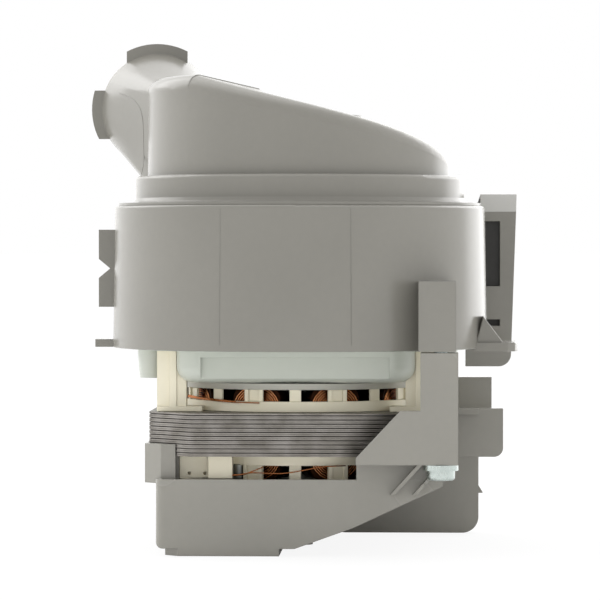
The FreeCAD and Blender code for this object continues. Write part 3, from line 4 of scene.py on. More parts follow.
import bpy
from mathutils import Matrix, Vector


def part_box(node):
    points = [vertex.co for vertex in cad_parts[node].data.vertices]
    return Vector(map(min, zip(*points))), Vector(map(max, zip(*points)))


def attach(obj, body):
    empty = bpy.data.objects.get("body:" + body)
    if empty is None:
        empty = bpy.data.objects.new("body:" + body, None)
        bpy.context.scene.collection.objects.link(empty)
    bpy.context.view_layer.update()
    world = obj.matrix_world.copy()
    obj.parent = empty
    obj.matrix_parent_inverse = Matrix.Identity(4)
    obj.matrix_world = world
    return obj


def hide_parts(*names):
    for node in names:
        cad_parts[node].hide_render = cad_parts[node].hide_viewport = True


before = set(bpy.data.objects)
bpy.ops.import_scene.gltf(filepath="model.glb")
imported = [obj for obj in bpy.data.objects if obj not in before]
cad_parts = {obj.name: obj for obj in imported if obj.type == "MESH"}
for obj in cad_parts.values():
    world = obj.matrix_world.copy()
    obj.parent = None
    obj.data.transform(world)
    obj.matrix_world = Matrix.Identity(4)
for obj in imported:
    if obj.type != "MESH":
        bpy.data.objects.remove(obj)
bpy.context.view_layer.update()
scene = bpy.context.scene
scene.view_settings.view_transform = "Standard"

# Camera
# The photograph was taken from far off with a long lens, a little to the right of
# the pump's front and level with the drum's lower half.
MM = 0.001
camera_distance = 1.150
camera_turn = math.radians(2.2)
camera_height = 0.097
camera_dip = math.radians(0.875)
focal_in_pixels = 3536
frame_in_pixels = 600
sensor_width = 36
nearest_seen = 0.05
bpy.ops.object.select_all(action="DESELECT")
bpy.ops.object.camera_add(
    location=(
        camera_distance * math.sin(camera_turn),
        -camera_distance * math.cos(camera_turn),
        camera_height,
    ),
    rotation=(math.pi / 2 - camera_dip, 0, camera_turn),
)
camera = bpy.context.object
camera.name = "photo_camera"
camera.data.sensor_width = sensor_width
camera.data.lens = focal_in_pixels / frame_in_pixels * sensor_width
camera.data.clip_start = nearest_seen
scene.camera = camera


# Floor and light
# The pump stands on a white table in a white tent. The side where the camera looks in
# is darker than the back, so the drum is darkest in its middle and bright at its edges.
def add_node(tree, kind, place, **inputs):
    """A shader node at a place on the sheet, with its plain input values set."""
    node = tree.nodes.new(kind)
    node.location = (place[0] * node_spacing, place[1] * node_spacing)
    for name, value in inputs.items():
        node.inputs[name.replace("_", " ")].default_value = value
    return node


def link(tree, start, end):
    """Joins one node's output to another node's input."""
    tree.links.new(start, end)


node_spacing = 220
back_light = 1.85
front_light = 0.72
tent = bpy.data.worlds.new("white_tent")
scene.world = tent
tent.use_nodes = True
sheet = tent.node_tree
sheet.nodes.clear()
tent_output = add_node(sheet, "ShaderNodeOutputWorld", (5, 0))
seen_tent = add_node(sheet, "ShaderNodeBackground", (3, 1), Color=(1, 1, 1, 1), Strength=1.0)
lit_tent = add_node(sheet, "ShaderNodeBackground", (3, -1), Color=(1, 1, 1, 1))
tent_choice = add_node(sheet, "ShaderNodeMixShader", (4, 0))
tent_path = add_node(sheet, "ShaderNodeLightPath", (2, 2))
tent_place = add_node(sheet, "ShaderNodeTexCoord", (-2, -1))
towards_camera = add_node(sheet, "ShaderNodeVectorMath", (-1, -1))
towards_camera.operation = "DOT_PRODUCT"
towards_camera.inputs[1].default_value = (math.sin(camera_turn), -math.cos(camera_turn), 0)
link(sheet, tent_place.outputs["Generated"], towards_camera.inputs[0])
front_shade = add_node(sheet, "ShaderNodeMapRange", (0, -1))
front_shade.inputs["From Min"].default_value = -1.0
front_shade.inputs["From Max"].default_value = 1.0
front_shade.inputs["To Min"].default_value = back_light
front_shade.inputs["To Max"].default_value = front_light
link(sheet, towards_camera.outputs["Value"], front_shade.inputs["Value"])
link(sheet, front_shade.outputs["Result"], lit_tent.inputs["Strength"])
link(sheet, tent_path.outputs["Is Camera Ray"], tent_choice.inputs["Fac"])
link(sheet, lit_tent.outputs["Background"], tent_choice.inputs[1])
link(sheet, seen_tent.outputs["Background"], tent_choice.inputs[2])
link(sheet, tent_choice.outputs["Shader"], tent_output.inputs["Surface"])

floor_side = 80
floor_below = 0.2 * MM
floor_white_share = 0.9
bpy.ops.object.select_all(action="DESELECT")
bpy.ops.mesh.primitive_plane_add(size=floor_side, location=(0, 0, -floor_below))
floor = bpy.context.object
floor.name = "table_top"
floor_paint = bpy.data.materials.new("white_table")
floor_paint.use_nodes = True
sheet = floor_paint.node_tree
sheet.nodes.clear()
floor_output = add_node(sheet, "ShaderNodeOutputMaterial", (4, 0))
floor_matt = add_node(sheet, "ShaderNodeBsdfDiffuse", (1, 0), Color=(0.94, 0.94, 0.94, 1))
floor_glow = add_node(sheet, "ShaderNodeEmission", (1, -1), Color=(1, 1, 1, 1), Strength=1.0)
floor_share = add_node(sheet, "ShaderNodeMath", (1, 2))
floor_share.operation = "MULTIPLY"
floor_share.inputs[1].default_value = floor_white_share
floor_path = add_node(sheet, "ShaderNodeLightPath", (0, 2))
floor_choice = add_node(sheet, "ShaderNodeMixShader", (3, 0))
link(sheet, floor_path.outputs["Is Camera Ray"], floor_share.inputs[0])
link(sheet, floor_share.outputs["Value"], floor_choice.inputs["Fac"])
link(sheet, floor_matt.outputs["BSDF"], floor_choice.inputs[1])
link(sheet, floor_glow.outputs["Emission"], floor_choice.inputs[2])
link(sheet, floor_choice.outputs["Shader"], floor_output.inputs["Surface"])
floor.data.materials.append(floor_paint)


def add_soft_lamp(name, place, size, power):
    """A square soft lamp that shines from its place to the middle of the pump."""
    bpy.ops.object.select_all(action="DESELECT")
    turn = (Vector(lamp_aim) - Vector(place)).to_track_quat("-Z", "Y").to_euler()
    bpy.ops.object.light_add(type="AREA", location=place, rotation=turn)
    lamp = bpy.context.object
    lamp.name = name
    lamp.data.size = size
    lamp.data.energy = power


lamp_aim = (0, 0, 0.1)
add_soft_lamp("lamp_above", (-0.2, 0.1, 1.1), 0.9, 2.5)
add_soft_lamp("lamp_behind_left", (-0.9, 0.55, 0.8), 0.9, 5.5)
add_soft_lamp("lamp_behind_right", (0.62, 0.98, 0.35), 1.0, 4.5)


# Drum jacket
# A round jacket, injection moulded in satin grey plastic with soft edges. Its tab, foot
# and ear snap and screw to the machine's base. Two faint lines show where the mould parts.
merge_distance = 0.000002
flat_angle = math.radians(0.05)


def pick(piece):
    """Selects one piece alone and makes it the active one."""
    bpy.ops.object.select_all(action="DESELECT")
    piece.select_set(True)
    bpy.context.view_layer.objects.active = piece


def copy_of_node(node, name):
    """A piece of its own that starts as a merged copy of a CAD node's mesh."""
    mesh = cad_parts[node].data.copy()
    mesh.name = name
    piece = bpy.data.objects.new(name, mesh)
    scene.collection.objects.link(piece)
    pick(piece)
    bpy.ops.object.mode_set(mode="EDIT")
    bpy.ops.mesh.select_all(action="SELECT")
    bpy.ops.mesh.customdata_custom_splitnormals_clear()
    bpy.ops.mesh.remove_doubles(threshold=merge_distance)
    bpy.ops.mesh.dissolve_limited(angle_limit=flat_angle)
    bpy.ops.object.mode_set(mode="OBJECT")
    return piece


def round_edges(piece, width, segments=2, sharper_than=28):
    """Bevels every edge that is sharper than an angle, as a mould's corners are."""
    pick(piece)
    bpy.ops.object.shade_smooth_by_angle(angle=math.radians(sharper_than))
    bevel = piece.modifiers.new("edge_rounding", "BEVEL")
    bevel.limit_method = "ANGLE"
    bevel.angle_limit = math.radians(sharper_than)
    bevel.width = width
    bevel.segments = segments
    bevel.use_clamp_overlap = True
    bevel.harden_normals = True
    bpy.ops.object.modifier_apply(modifier=bevel.name)


def dress(piece, material):
    """Gives a piece its one material, and the slot that its finish comes from."""
    piece.data.materials.clear()
    piece.data.materials.append(material)


def add_group(name, inputs, outputs):
    """An empty shader node group with number inputs and outputs."""
    group = bpy.data.node_groups.new(name, "ShaderNodeTree")
    for title, value in inputs.items():
        socket = group.interface.new_socket(title, in_out="INPUT", socket_type="NodeSocketFloat")
        socket.default_value = value
    for title in outputs:
        group.interface.new_socket(title, in_out="OUTPUT", socket_type="NodeSocketFloat")
    return group


# The finish of moulded plastic: a fine even grain, wide flow marks and small specks.
plastic_grain = 1800.0
plastic_flow = 30.0
speck_size = 420.0
speck_share = 0.3
mould_finish = add_group(
    "mould_finish", {"Grain Size": plastic_grain, "Flow Size": plastic_flow},
    ["Height", "Tone", "Gloss"])
entry = add_node(mould_finish, "NodeGroupInput", (0, 0))
leave = add_node(mould_finish, "NodeGroupOutput", (6, 0))
where = add_node(mould_finish, "ShaderNodeTexCoord", (0, 2))
grain = add_node(mould_finish, "ShaderNodeTexNoise", (2, 2), Detail=2.0, Roughness=0.5)
flow = add_node(mould_finish, "ShaderNodeTexNoise", (2, 0), Detail=1.0, Roughness=0.4)
specks = add_node(mould_finish, "ShaderNodeTexNoise", (2, -2), Scale=speck_size, Detail=1.0)
link(mould_finish, where.outputs["Object"], grain.inputs["Vector"])
link(mould_finish, where.outputs["Object"], flow.inputs["Vector"])
link(mould_finish, where.outputs["Object"], specks.inputs["Vector"])
link(mould_finish, entry.outputs["Grain Size"], grain.inputs["Scale"])
link(mould_finish, entry.outputs["Flow Size"], flow.inputs["Scale"])
blend_tone = add_node(mould_finish, "ShaderNodeMath", (4, 0))
blend_tone.operation = "MULTIPLY_ADD"
blend_tone.inputs[1].default_value = speck_share
link(mould_finish, specks.outputs["Fac"], blend_tone.inputs[0])
link(mould_finish, flow.outputs["Fac"], blend_tone.inputs[2])
link(mould_finish, grain.outputs["Fac"], leave.inputs["Height"])
link(mould_finish, blend_tone.outputs["Value"], leave.inputs["Tone"])
link(mould_finish, flow.outputs["Fac"], leave.inputs["Gloss"])


def shade_between(sheet, factor, low, high, place):
    """Colours that run between two shades as a value runs from 0.3 to 0.9."""
    ramp = add_node(sheet, "ShaderNodeValToRGB", place)
    ramp.color_ramp.elements[0].position = 0.3
    ramp.color_ramp.elements[0].color = (*low, 1)
    ramp.color_ramp.elements[1].position = 0.9
    ramp.color_ramp.elements[1].color = (*high, 1)
    link(sheet, factor, ramp.inputs["Fac"])
    return ramp.outputs["Color"]


def spread(sheet, factor, low, high, place):
    """Numbers that run between two limits as a value runs from 0.3 to 0.7."""
    node = add_node(sheet, "ShaderNodeMapRange", place)
    node.inputs["From Min"].default_value = 0.3
    node.inputs["From Max"].default_value = 0.7
    node.inputs["To Min"].default_value = low
    node.inputs["To Max"].default_value = high
    link(sheet, factor, node.inputs["Value"])
    return node.outputs["Result"]


plastic_ior = 1.5
corner_radius = 0.4 * MM


def moulded_plastic(name, dark, light, dull, grain_depth, flow_size=plastic_flow):
    """Moulded plastic between two shades, with its dullness, its grain and its soft corners."""
    material = bpy.data.materials.new(name)
    material.use_nodes = True
    sheet = material.node_tree
    shader = sheet.nodes["Principled BSDF"]
    finish = add_node(sheet, "ShaderNodeGroup", (-5, 0))
    finish.node_tree = mould_finish
    finish.inputs["Grain Size"].default_value = plastic_grain
    finish.inputs["Flow Size"].default_value = flow_size
    link(sheet, shade_between(sheet, finish.outputs["Tone"], dark, light, (-3, 1)),
         shader.inputs["Base Color"])
    link(sheet, spread(sheet, finish.outputs["Gloss"], dull * 0.94, dull * 1.06, (-3, 0)),
         shader.inputs["Roughness"])
    shader.inputs["IOR"].default_value = plastic_ior
    corners = add_node(sheet, "ShaderNodeBevel", (-4, -2), Radius=corner_radius)
    bump = add_node(sheet, "ShaderNodeBump", (-2, -1), Strength=0.35, Distance=grain_depth)
    link(sheet, finish.outputs["Height"], bump.inputs["Height"])
    link(sheet, corners.outputs["Normal"], bump.inputs["Normal"])
    link(sheet, bump.outputs["Normal"], shader.inputs["Normal"])
    return material


grey_plastic = moulded_plastic(
    "grey_moulding", (0.210, 0.203, 0.179), (0.230, 0.222, 0.196), dull=0.24, grain_depth=0.000012)
dress(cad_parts["drum_jacket"], grey_plastic)
drum_low_radius = 60.7 * MM
drum_high_radius = 60.0 * MM
drum_low = 66.4 * MM
drum_high = 108.6 * MM
line_proud = 0.05 * MM
line_width = 0.35 * MM
line_sunk = 0.4 * MM
for name, across in (("drum_mould_line_left", -22.6 * MM), ("drum_mould_line_right", 17.9 * MM)):
    bpy.ops.object.select_all(action="DESELECT")
    bpy.ops.mesh.primitive_cube_add(size=1)
    line = bpy.context.object
    line.name = name
    turn = math.asin(across / drum_high_radius)
    for vertex in line.data.vertices:
        is_outer = vertex.co.y < 0
        reach, height = (
            (drum_high_radius, drum_high) if vertex.co.z > 0 else (drum_low_radius, drum_low))
        reach += line_proud if is_outer else -line_sunk
        angle = turn + vertex.co.x * line_width / drum_high_radius * (0.5 if is_outer else 1)
        vertex.co = (reach * math.sin(angle), -reach * math.cos(angle), height)
    dress(line, grey_plastic)
    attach(line, "housing")


# The ear's web: a plate that widens the ear towards the front, and a triangular rib on it.
def extruded_plate(name, outline, shift):
    """A plate drawn by its outline's corners, and extruded by a shift, all in millimetres."""
    bpy.ops.object.select_all(action="DESELECT")
    bpy.ops.mesh.primitive_circle_add(vertices=len(outline), fill_type="NGON")
    plate = bpy.context.object
    plate.name = name
    for vertex, corner in zip(plate.data.vertices, outline):
        vertex.co = [value * MM for value in corner]
    bpy.ops.object.mode_set(mode="EDIT")
    bpy.ops.mesh.select_all(action="SELECT")
    bpy.ops.mesh.extrude_region_move(
        TRANSFORM_OT_translate={"value": [value * MM for value in shift]})
    bpy.ops.mesh.select_all(action="SELECT")
    bpy.ops.mesh.normals_make_consistent(inside=False)
    bpy.ops.object.mode_set(mode="OBJECT")
    round_edges(plate, plate_rounding)
    dress(plate, grey_plastic)
    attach(plate, "housing")


plate_rounding = 0.3 * MM
web_low = 63.35
web_thickness = 2.9
web_corners = ((56.0, -20.6), (67.2, -20.6), (69.4, -19.4), (70.2, -17.0), (70.2, 4.6), (58.9, 4.6),
               (57.9, -13.0))
ear_rib_front = -19.6
ear_rib_depth = 8.6
ear_rib_corners = ((56.9, 66.0), (65.8, 66.0), (59.3, 74.6))
extruded_plate(
    "drum_ear_web", [(*corner, web_low) for corner in web_corners], (0, 0, web_thickness))
extruded_plate(
    "drum_ear_rib", [(across, ear_rib_front, up) for across, up in ear_rib_corners],
    (0, ear_rib_depth, 0))

# Pump head
# One grey moulding: a flange and cove on the drum, the falling spiral roof, the collar
# in its middle and the round outlet with bayonet lugs at the upper left.
dress(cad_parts["pump_head"], grey_plastic)

# Motor cap
# The lower cap of the motor, with its corner plate, hook, wing, gussets and screw column.
# Its grey is painted a little paler than the drum's. This is painted light for the glow that the
# white table throws up onto the lower parts.
grey_plastic_painted_light = moulded_plastic(
    "grey_moulding_painted_light", (0.252, 0.244, 0.215), (0.276, 0.266, 0.235),
    dull=0.26, grain_depth=0.000012)
dress(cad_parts["motor_cap"], grey_plastic_painted_light)

# Terminal carrier and terminal box
# Thin-walled housings for the heater's terminals beside the drum, and for the motor's
# plug at the back right. The carrier's outer wall leans in towards its foot, which
# reaches to the drum, and its top is a hood that is set back. The hood's paler grey
# is painted light, for the light that falls on its lip from above.
carrier = copy_of_node("terminal_carrier", "terminal_carrier_moulding")
carrier_low, carrier_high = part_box("terminal_carrier")
wall_lean = 2.0 * MM
outer_wall_from = 66.5 * MM
slit_right = 63.55 * MM
window_right = 65.35 * MM
slit_top = 73.0 * MM
foot_top = 63.0 * MM
foot_reach = 54.0 * MM
hood_low = 108.4 * MM
hood_left = 58.9 * MM
hood_back = 1.6 * MM
hood_edge = 1 * MM
hood_front_depth = 3 * MM
carrier_rounding = 0.35 * MM
near = 0.1 * MM
touching = 0.01 * MM


def cut_across(piece, direction, offsets):
    """Cuts lines of edges round a piece, square to a direction, and its faces into triangles."""
    pick(piece)
    bpy.ops.object.mode_set(mode="EDIT")
    for offset in offsets:
        bpy.ops.mesh.select_all(action="SELECT")
        bpy.ops.mesh.bisect(plane_co=[offset * share for share in direction], plane_no=direction)
    bpy.ops.mesh.select_all(action="SELECT")
    bpy.ops.mesh.quads_convert_to_tris()
    bpy.ops.object.mode_set(mode="OBJECT")


def lean_in(place):
    """How far the carrier's outer wall stands further in at a height than at its top."""
    return wall_lean * (carrier_high[2] - place.z) / (carrier_high[2] - carrier_low[2])


cut_across(carrier, (0, 0, 1), [foot_top])
cut_across(carrier, (0, 0, 1), [hood_low])
for vertex in carrier.data.vertices:
    place = vertex.co
    if place.x > outer_wall_from:
        place.x -= lean_in(place)
    if abs(place.x - slit_right) < near and place.z < slit_top:
        place.x = window_right
    if place.x < carrier_low[0] + near and place.z <= foot_top + touching:
        place.x = foot_reach
    if place.x < carrier_low[0] + near and place.z > hood_low - touching:
        place.x = hood_left
    if place.z > hood_low + hood_edge and place.y < carrier_low[1] + hood_front_depth:
        place.y += hood_back
# Painted light: the hood gets a paler copy of the grey, which stands in for the light from above on
# its lip.
hood_painted_light = moulded_plastic(
    "hood_moulding_painted_light", (0.46, 0.455, 0.43), (0.50, 0.495, 0.47), dull=0.30, grain_depth=0.000012)
round_edges(carrier, carrier_rounding)
dress(carrier, grey_plastic)
carrier.data.materials.append(hood_painted_light)
# The hood's faces take the painted light.
for face in carrier.data.polygons:
    if face.center.z > hood_low:
        face.material_index = 1
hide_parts("terminal_carrier")
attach(carrier, "housing")
# The box takes the cap's paler grey too, painted light from the white table below.
dress(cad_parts["terminal_box"], grey_plastic_painted_light)

# Black mouldings
# Glass-filled black plastic: the terminal block behind the carrier's windows, and the
# wet parts inside the chamber.
black_plastic = moulded_plastic(
    "black_moulding", (0.018, 0.017, 0.015), (0.028, 0.027, 0.024), dull=0.45, grain_depth=0.00003)
terminal_block = copy_of_node("terminal_block", "terminal_block_moulding")
block_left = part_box("terminal_block")[0][0]
block_reach = 2.0 * MM
block_rounding = 0.3 * MM
for vertex in terminal_block.data.vertices:
    if vertex.co.x > outer_wall_from:
        vertex.co.x -= lean_in(vertex.co)
    if vertex.co.x < block_left + near:
        vertex.co.x -= block_reach
round_edges(terminal_block, block_rounding)
dress(terminal_block, black_plastic)
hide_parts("terminal_block")
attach(terminal_block, "housing")
for node in ("diffuser", "impeller", "impeller_shroud", "bearing_plate", "suction_tube"):
    dress(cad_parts[node], black_plastic)

# Rotor can
# A pale moulding with a faint green cast, which closes the heated chamber from below and
# holds the wet rotor. Four screws hold its flange to the jacket.
white_plastic = moulded_plastic(
    "white_moulding", (0.49, 0.52, 0.46), (0.53, 0.55, 0.495),
    dull=0.30, grain_depth=0.000015, flow_size=18.0)
can_rounding = 0.5 * MM
rotor_can = copy_of_node("rotor_can", "rotor_can_moulding")
round_edges(rotor_can, can_rounding, 3)
dress(rotor_can, white_plastic)
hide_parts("rotor_can")
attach(rotor_can, "housing")

# Insulators
# Cream polyamide rings above and below the stack, with windows between their ribs, ribbed
# corner columns and the leads' outlet block. The motor's plug socket is of the same plastic.
cream_plastic = moulded_plastic(
    "cream_moulding", (0.80, 0.745, 0.575), (0.86, 0.805, 0.64),
    dull=0.38, grain_depth=0.00003, flow_size=60.0)
ring_radius = 40.0 * MM
upper_ring_edge = 51.7 * MM
middle_ring_edge = 48.0 * MM
ring_taper = {upper_ring_edge: 1.0 * MM, middle_ring_edge: 0.35 * MM}
rib_back = 0.9 * MM
rib_depth = 1.4 * MM
ring_height = 2.05 * MM
ring_margin = 0.2 * MM
edge_margin = 0.05 * MM
insulator_rounding = 0.18 * MM
block_step = -27.2 * MM
block_edge = -27.6 * MM
block_front = -39.0 * MM
block_back = 4.0 * MM
# Painted shade: a greyer, darker copy of the cream for the band over the upper windows, which lies
# in the shade under the rotor can's overhang.
band_painted_shade = moulded_plastic(
    "band_moulding_painted_shade", (0.44, 0.435, 0.385), (0.49, 0.485, 0.43), dull=0.38, grain_depth=0.00003)
for node in ("upper_insulator", "lower_insulator", "motor_connector"):
    insulator = copy_of_node(node, f"{node}_moulding")
    if node == "lower_insulator":
        cut_across(insulator, (1, 0, 0), [block_step, block_edge])
        for vertex in insulator.data.vertices:
            if vertex.co.x < block_edge + touching and vertex.co.y < block_front:
                vertex.co.y += block_back
    for vertex in insulator.data.vertices:
        reach = math.hypot(vertex.co.x, vertex.co.y)
        is_window = middle_ring_edge - edge_margin < vertex.co.z < upper_ring_edge + edge_margin
        if is_window and ring_radius - rib_depth < reach < ring_radius - near:
            vertex.co.x *= (reach - rib_back) / reach
            vertex.co.y *= (reach - rib_back) / reach
        for edge, taper in ring_taper.items():
            if abs(vertex.co.z - edge) < edge_margin and abs(reach - ring_radius) < near:
                vertex.co.x *= (reach - taper) / reach
                vertex.co.y *= (reach - taper) / reach
    round_edges(insulator, insulator_rounding)
    dress(insulator, cream_plastic)
    # The band over the upper windows takes the painted shade.
    if node == "upper_insulator":
        insulator.data.materials.append(band_painted_shade)
        for face in insulator.data.polygons:
            is_shaded_band = upper_ring_edge < face.center.z < upper_ring_edge + ring_height
            if is_shaded_band and math.hypot(face.center.x, face.center.y) < ring_radius + ring_margin:
                face.material_index = 1
    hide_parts(node)
    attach(insulator, "housing")


# Lamination stack
# Blanked electrical sheets 0.65 mm thick, pressed together in pairs, so that every
# second joint shows darker. Their cut edges are bright, and browned by oil in places.
def metal(name, colour, dark_colour, dull, grain_size, stretch, scratch_depth):
    """Bare metal with brushed or rolled streaks along one direction."""
    material = bpy.data.materials.new(name)
    material.use_nodes = True
    sheet = material.node_tree
    shader = sheet.nodes["Principled BSDF"]
    shader.inputs["Metallic"].default_value = 1.0
    where = add_node(sheet, "ShaderNodeTexCoord", (-7, 0))
    stretched = add_node(sheet, "ShaderNodeMapping", (-6, 0))
    stretched.inputs["Scale"].default_value = stretch
    streaks = add_node(sheet, "ShaderNodeTexNoise", (-5, 0), Scale=grain_size, Detail=3.0)
    stains = add_node(sheet, "ShaderNodeTexNoise", (-5, 2), Scale=grain_size / 9, Detail=2.0)
    link(sheet, where.outputs["Object"], stretched.inputs["Vector"])
    link(sheet, stretched.outputs["Vector"], streaks.inputs["Vector"])
    link(sheet, where.outputs["Object"], stains.inputs["Vector"])
    link(sheet, shade_between(sheet, stains.outputs["Fac"], dark_colour, colour, (-3, 1)),
         shader.inputs["Base Color"])
    link(sheet, spread(sheet, streaks.outputs["Fac"], dull * 0.75, dull * 1.25, (-3, 0)),
         shader.inputs["Roughness"])
    bump = add_node(sheet, "ShaderNodeBump", (-2, -1), Strength=0.4, Distance=scratch_depth)
    link(sheet, streaks.outputs["Fac"], bump.inputs["Height"])
    link(sheet, bump.outputs["Normal"], shader.inputs["Normal"])
    return material


sheet_steel = metal(
    "blanked_sheet_steel", (0.37, 0.35, 0.33), (0.19, 0.175, 0.155),
    dull=0.45, grain_size=1500.0, stretch=(0.8, 0.8, 2.0), scratch_depth=0.00003)
sheet_count = 21
stack_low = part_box("stator_core")[0][2]
stack_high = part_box("stator_core")[1][2]
sheet_pitch = (stack_high - stack_low) / sheet_count
sheet_gap = 0.13 * MM
pair_shift = 0.11 * MM
largest_slip = 0.04 * MM
slip_wave = 2.7
slip_in_depth = 0.7
sheet_burr = 0.05 * MM
first_sheet = copy_of_node("stator_core", "stator_sheets")
bpy.ops.object.mode_set(mode="EDIT")
bpy.ops.mesh.select_mode(type="FACE")
bpy.ops.mesh.select_all(action="DESELECT")
bpy.ops.object.mode_set(mode="OBJECT")
for face in first_sheet.data.polygons:
    is_underside = face.normal.z <= -0.9 and face.center.z <= stack_low + sheet_pitch / 2
    face.select = not is_underside
bpy.ops.object.mode_set(mode="EDIT")
bpy.ops.mesh.delete(type="FACE")
bpy.ops.mesh.select_all(action="SELECT")
bpy.ops.mesh.extrude_region_move(
    TRANSFORM_OT_translate={"value": (0, 0, sheet_pitch - sheet_gap)})
bpy.ops.mesh.select_all(action="SELECT")
bpy.ops.mesh.normals_make_consistent(inside=False)
bpy.ops.object.mode_set(mode="OBJECT")
round_edges(first_sheet, sheet_burr, 1, 60)
sheets = [first_sheet]
for index in range(1, sheet_count):
    copied = first_sheet.copy()
    copied.data = first_sheet.data.copy()
    scene.collection.objects.link(copied)
    slip = largest_slip * math.sin(index * slip_wave)
    copied.location = (
        slip, slip * slip_in_depth, index * sheet_pitch - pair_shift * (index % 2))
    sheets.append(copied)
bpy.ops.object.select_all(action="DESELECT")
for sheet_piece in sheets:
    sheet_piece.select_set(True)
bpy.context.view_layer.objects.active = first_sheet
bpy.ops.object.join()
dress(first_sheet, sheet_steel)
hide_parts("stator_core")
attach(first_sheet, "housing")

# Coils
# Enamelled copper wire 0.4 mm thick, wound in even turns round each of the nine teeth.
# From outside one looks at a coil's end, where its layers lie round each other with
# dark gaps between them.
copper = metal(
    "enamelled_copper", (0.62, 0.25, 0.10), (0.34, 0.12, 0.045),
    dull=0.26, grain_size=700.0, stretch=(1, 1, 1), scratch_depth=0.00001)
# Painted highlight: the wound turns get a brighter copy of the enamelled copper, which stands in
# for the glints on the wire.
coil_copper_painted_highlight = metal(
    "wound_copper_painted_highlight", (0.88, 0.42, 0.20), (0.62, 0.25, 0.10),
    dull=0.26, grain_size=300.0, stretch=(1, 1, 1), scratch_depth=0.00001)
dark_copper = metal(
    "shaded_copper", (0.030, 0.012, 0.006), (0.015, 0.006, 0.003),
    dull=0.50, grain_size=300.0, stretch=(1, 1, 1), scratch_depth=0.00001)
wire_radius = 0.21 * MM
wire_pitch = 3.3 * wire_radius
coil_low, coil_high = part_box("coil_1")
coil_middle = (coil_high[2] + coil_low[2]) / 2
coil_half_width = coil_high[0] - wire_radius / 2
coil_half_height = (coil_high[2] - coil_low[2]) / 2 - wire_radius / 2
head_round = 7.2 * MM
corner_steps = 5
turn_wander = 0.04 * MM
turn_wave = 4.1
layer_wander = 0.03 * MM
layer_wave = 3.3
layer_step = 0.1 * MM


def coil_turn(depth, start, end):
    """Places along one turn of wire that lies a depth inside the coil's outside."""
    half_width = coil_half_width - depth
    half_height = coil_half_height - depth
    bend = max(head_round - depth, wire_radius)
    places = []
    for corner, (across, up) in enumerate(((1, -1), (1, 1), (-1, 1), (-1, -1))):
        for step in range(corner_steps + 1):
            angle = math.radians(-90 + 90 * corner + 90 * step / corner_steps)
            share = (corner + step / (corner_steps + 1)) / 4
            places.append((
                across * (half_width - bend) + bend * math.cos(angle),
                start + (end - start) * share,
                coil_middle + up * (half_height - bend) + bend * math.sin(angle),
            ))
    return places


def wire_mesh(name, routes, radius):
    """A mesh of round wires that follow their routes."""
    curve = bpy.data.curves.new(name, "CURVE")
    curve.dimensions = "3D"
    curve.bevel_depth = radius
    curve.bevel_resolution = 1
    curve.use_fill_caps = True
    for route in routes:
        spline = curve.splines.new("POLY")
        spline.points.add(len(route) - 1)
        for point, place in zip(spline.points, route):
            point.co = (*place, 1)
    wires = bpy.data.objects.new(name, curve)
    scene.collection.objects.link(wires)
    pick(wires)
    bpy.ops.object.convert(target="MESH")
    bpy.ops.object.shade_smooth()
    return bpy.context.object


turn_count = int((coil_high[1] - coil_low[1] - 2 * wire_radius) / wire_pitch)
outer_layer = []
for turn in range(turn_count):
    lean = turn_wander * math.sin(turn * turn_wave)
    depth_start = coil_low[1] + wire_radius + turn * wire_pitch
    outer_layer += coil_turn(lean, depth_start, depth_start + wire_pitch)
layer_count = 7
end_layers = []
for layer in range(layer_count):
    inset = layer * wire_pitch + layer_wander * math.sin(layer * layer_wave)
    depth = coil_high[1] - wire_radius - layer_step * (layer % 2)
    places = coil_turn(inset, depth, depth)
    end_layers.append([*places, places[0]])
turns = wire_mesh("coil_1_turns", [outer_layer, *end_layers], wire_radius)
dress(turns, coil_copper_painted_highlight)
core = copy_of_node("coil_1", "coil_1_core")
core_depth = 0.35 * MM
for vertex in core.data.vertices:
    if vertex.co.y > coil_high[1] - near:
        vertex.co.y -= core_depth
dress(core, dark_copper)
pick(turns)
core.select_set(True)
bpy.ops.object.join()
coil_count = 9
for index in range(1, coil_count):
    copied = turns.copy()
    copied.data = turns.data.copy()
    copied.name = f"coil_{index + 1}_turns"
    scene.collection.objects.link(copied)
    copied.rotation_euler = (0, 0, math.radians(360 / coil_count * index))
    pick(copied)
    bpy.ops.object.transform_apply(location=False, rotation=True, scale=False)
    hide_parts(f"coil_{index + 1}")
    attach(copied, "housing")
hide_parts("coil_1")
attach(turns, "housing")

# Winding leads
# Loose ends of the coils' enamelled wire. Two run in front of the lower windows to the
# outlet block at the lower left, and three come round the corner to the upper windows.
lead_routes = [
    ((-19.4, -42.4, 25.2), (-17.6, -42.6, 25.3), (-15.8, -42.7, 25.5), (-14.2, -42.7, 26.0),
     (-11.9, -42.3, 26.9), (-10.0, -41.6, 27.6)),
    ((-19.6, -42.2, 25.0), (-16.5, -42.5, 25.1), (-14.2, -42.6, 25.9), (-11.9, -42.6, 25.9),
     (-8.2, -42.6, 25.7), (-4.6, -42.6, 25.6), (-1.8, -42.5, 25.9), (0.8, -42.4, 26.3),
     (4.4, -42.0, 27.0), (8.0, -41.5, 27.6), (10.9, -40.9, 27.9), (15.8, -39.0, 27.95)),
    ((-34.8, -20.2, 49.3), (-31.3, -25.3, 48.7), (-27.0, -29.9, 48.5), (-22.6, -33.4, 48.2),
     (-19.0, -35.6, 47.9)),
    ((-35.0, -20.4, 49.0), (-31.4, -25.6, 48.5), (-27.1, -30.2, 48.2), (-22.7, -33.7, 47.9),
     (-17.5, -36.5, 47.7)),
    ((-34.9, -20.0, 48.7), (-31.2, -25.2, 48.3), (-26.9, -29.8, 48.1), (-22.5, -33.4, 47.8),
     (-18.9, -35.5, 47.7), (-14.6, -37.5, 47.7), (-11.3, -38.6, 47.6)),
]


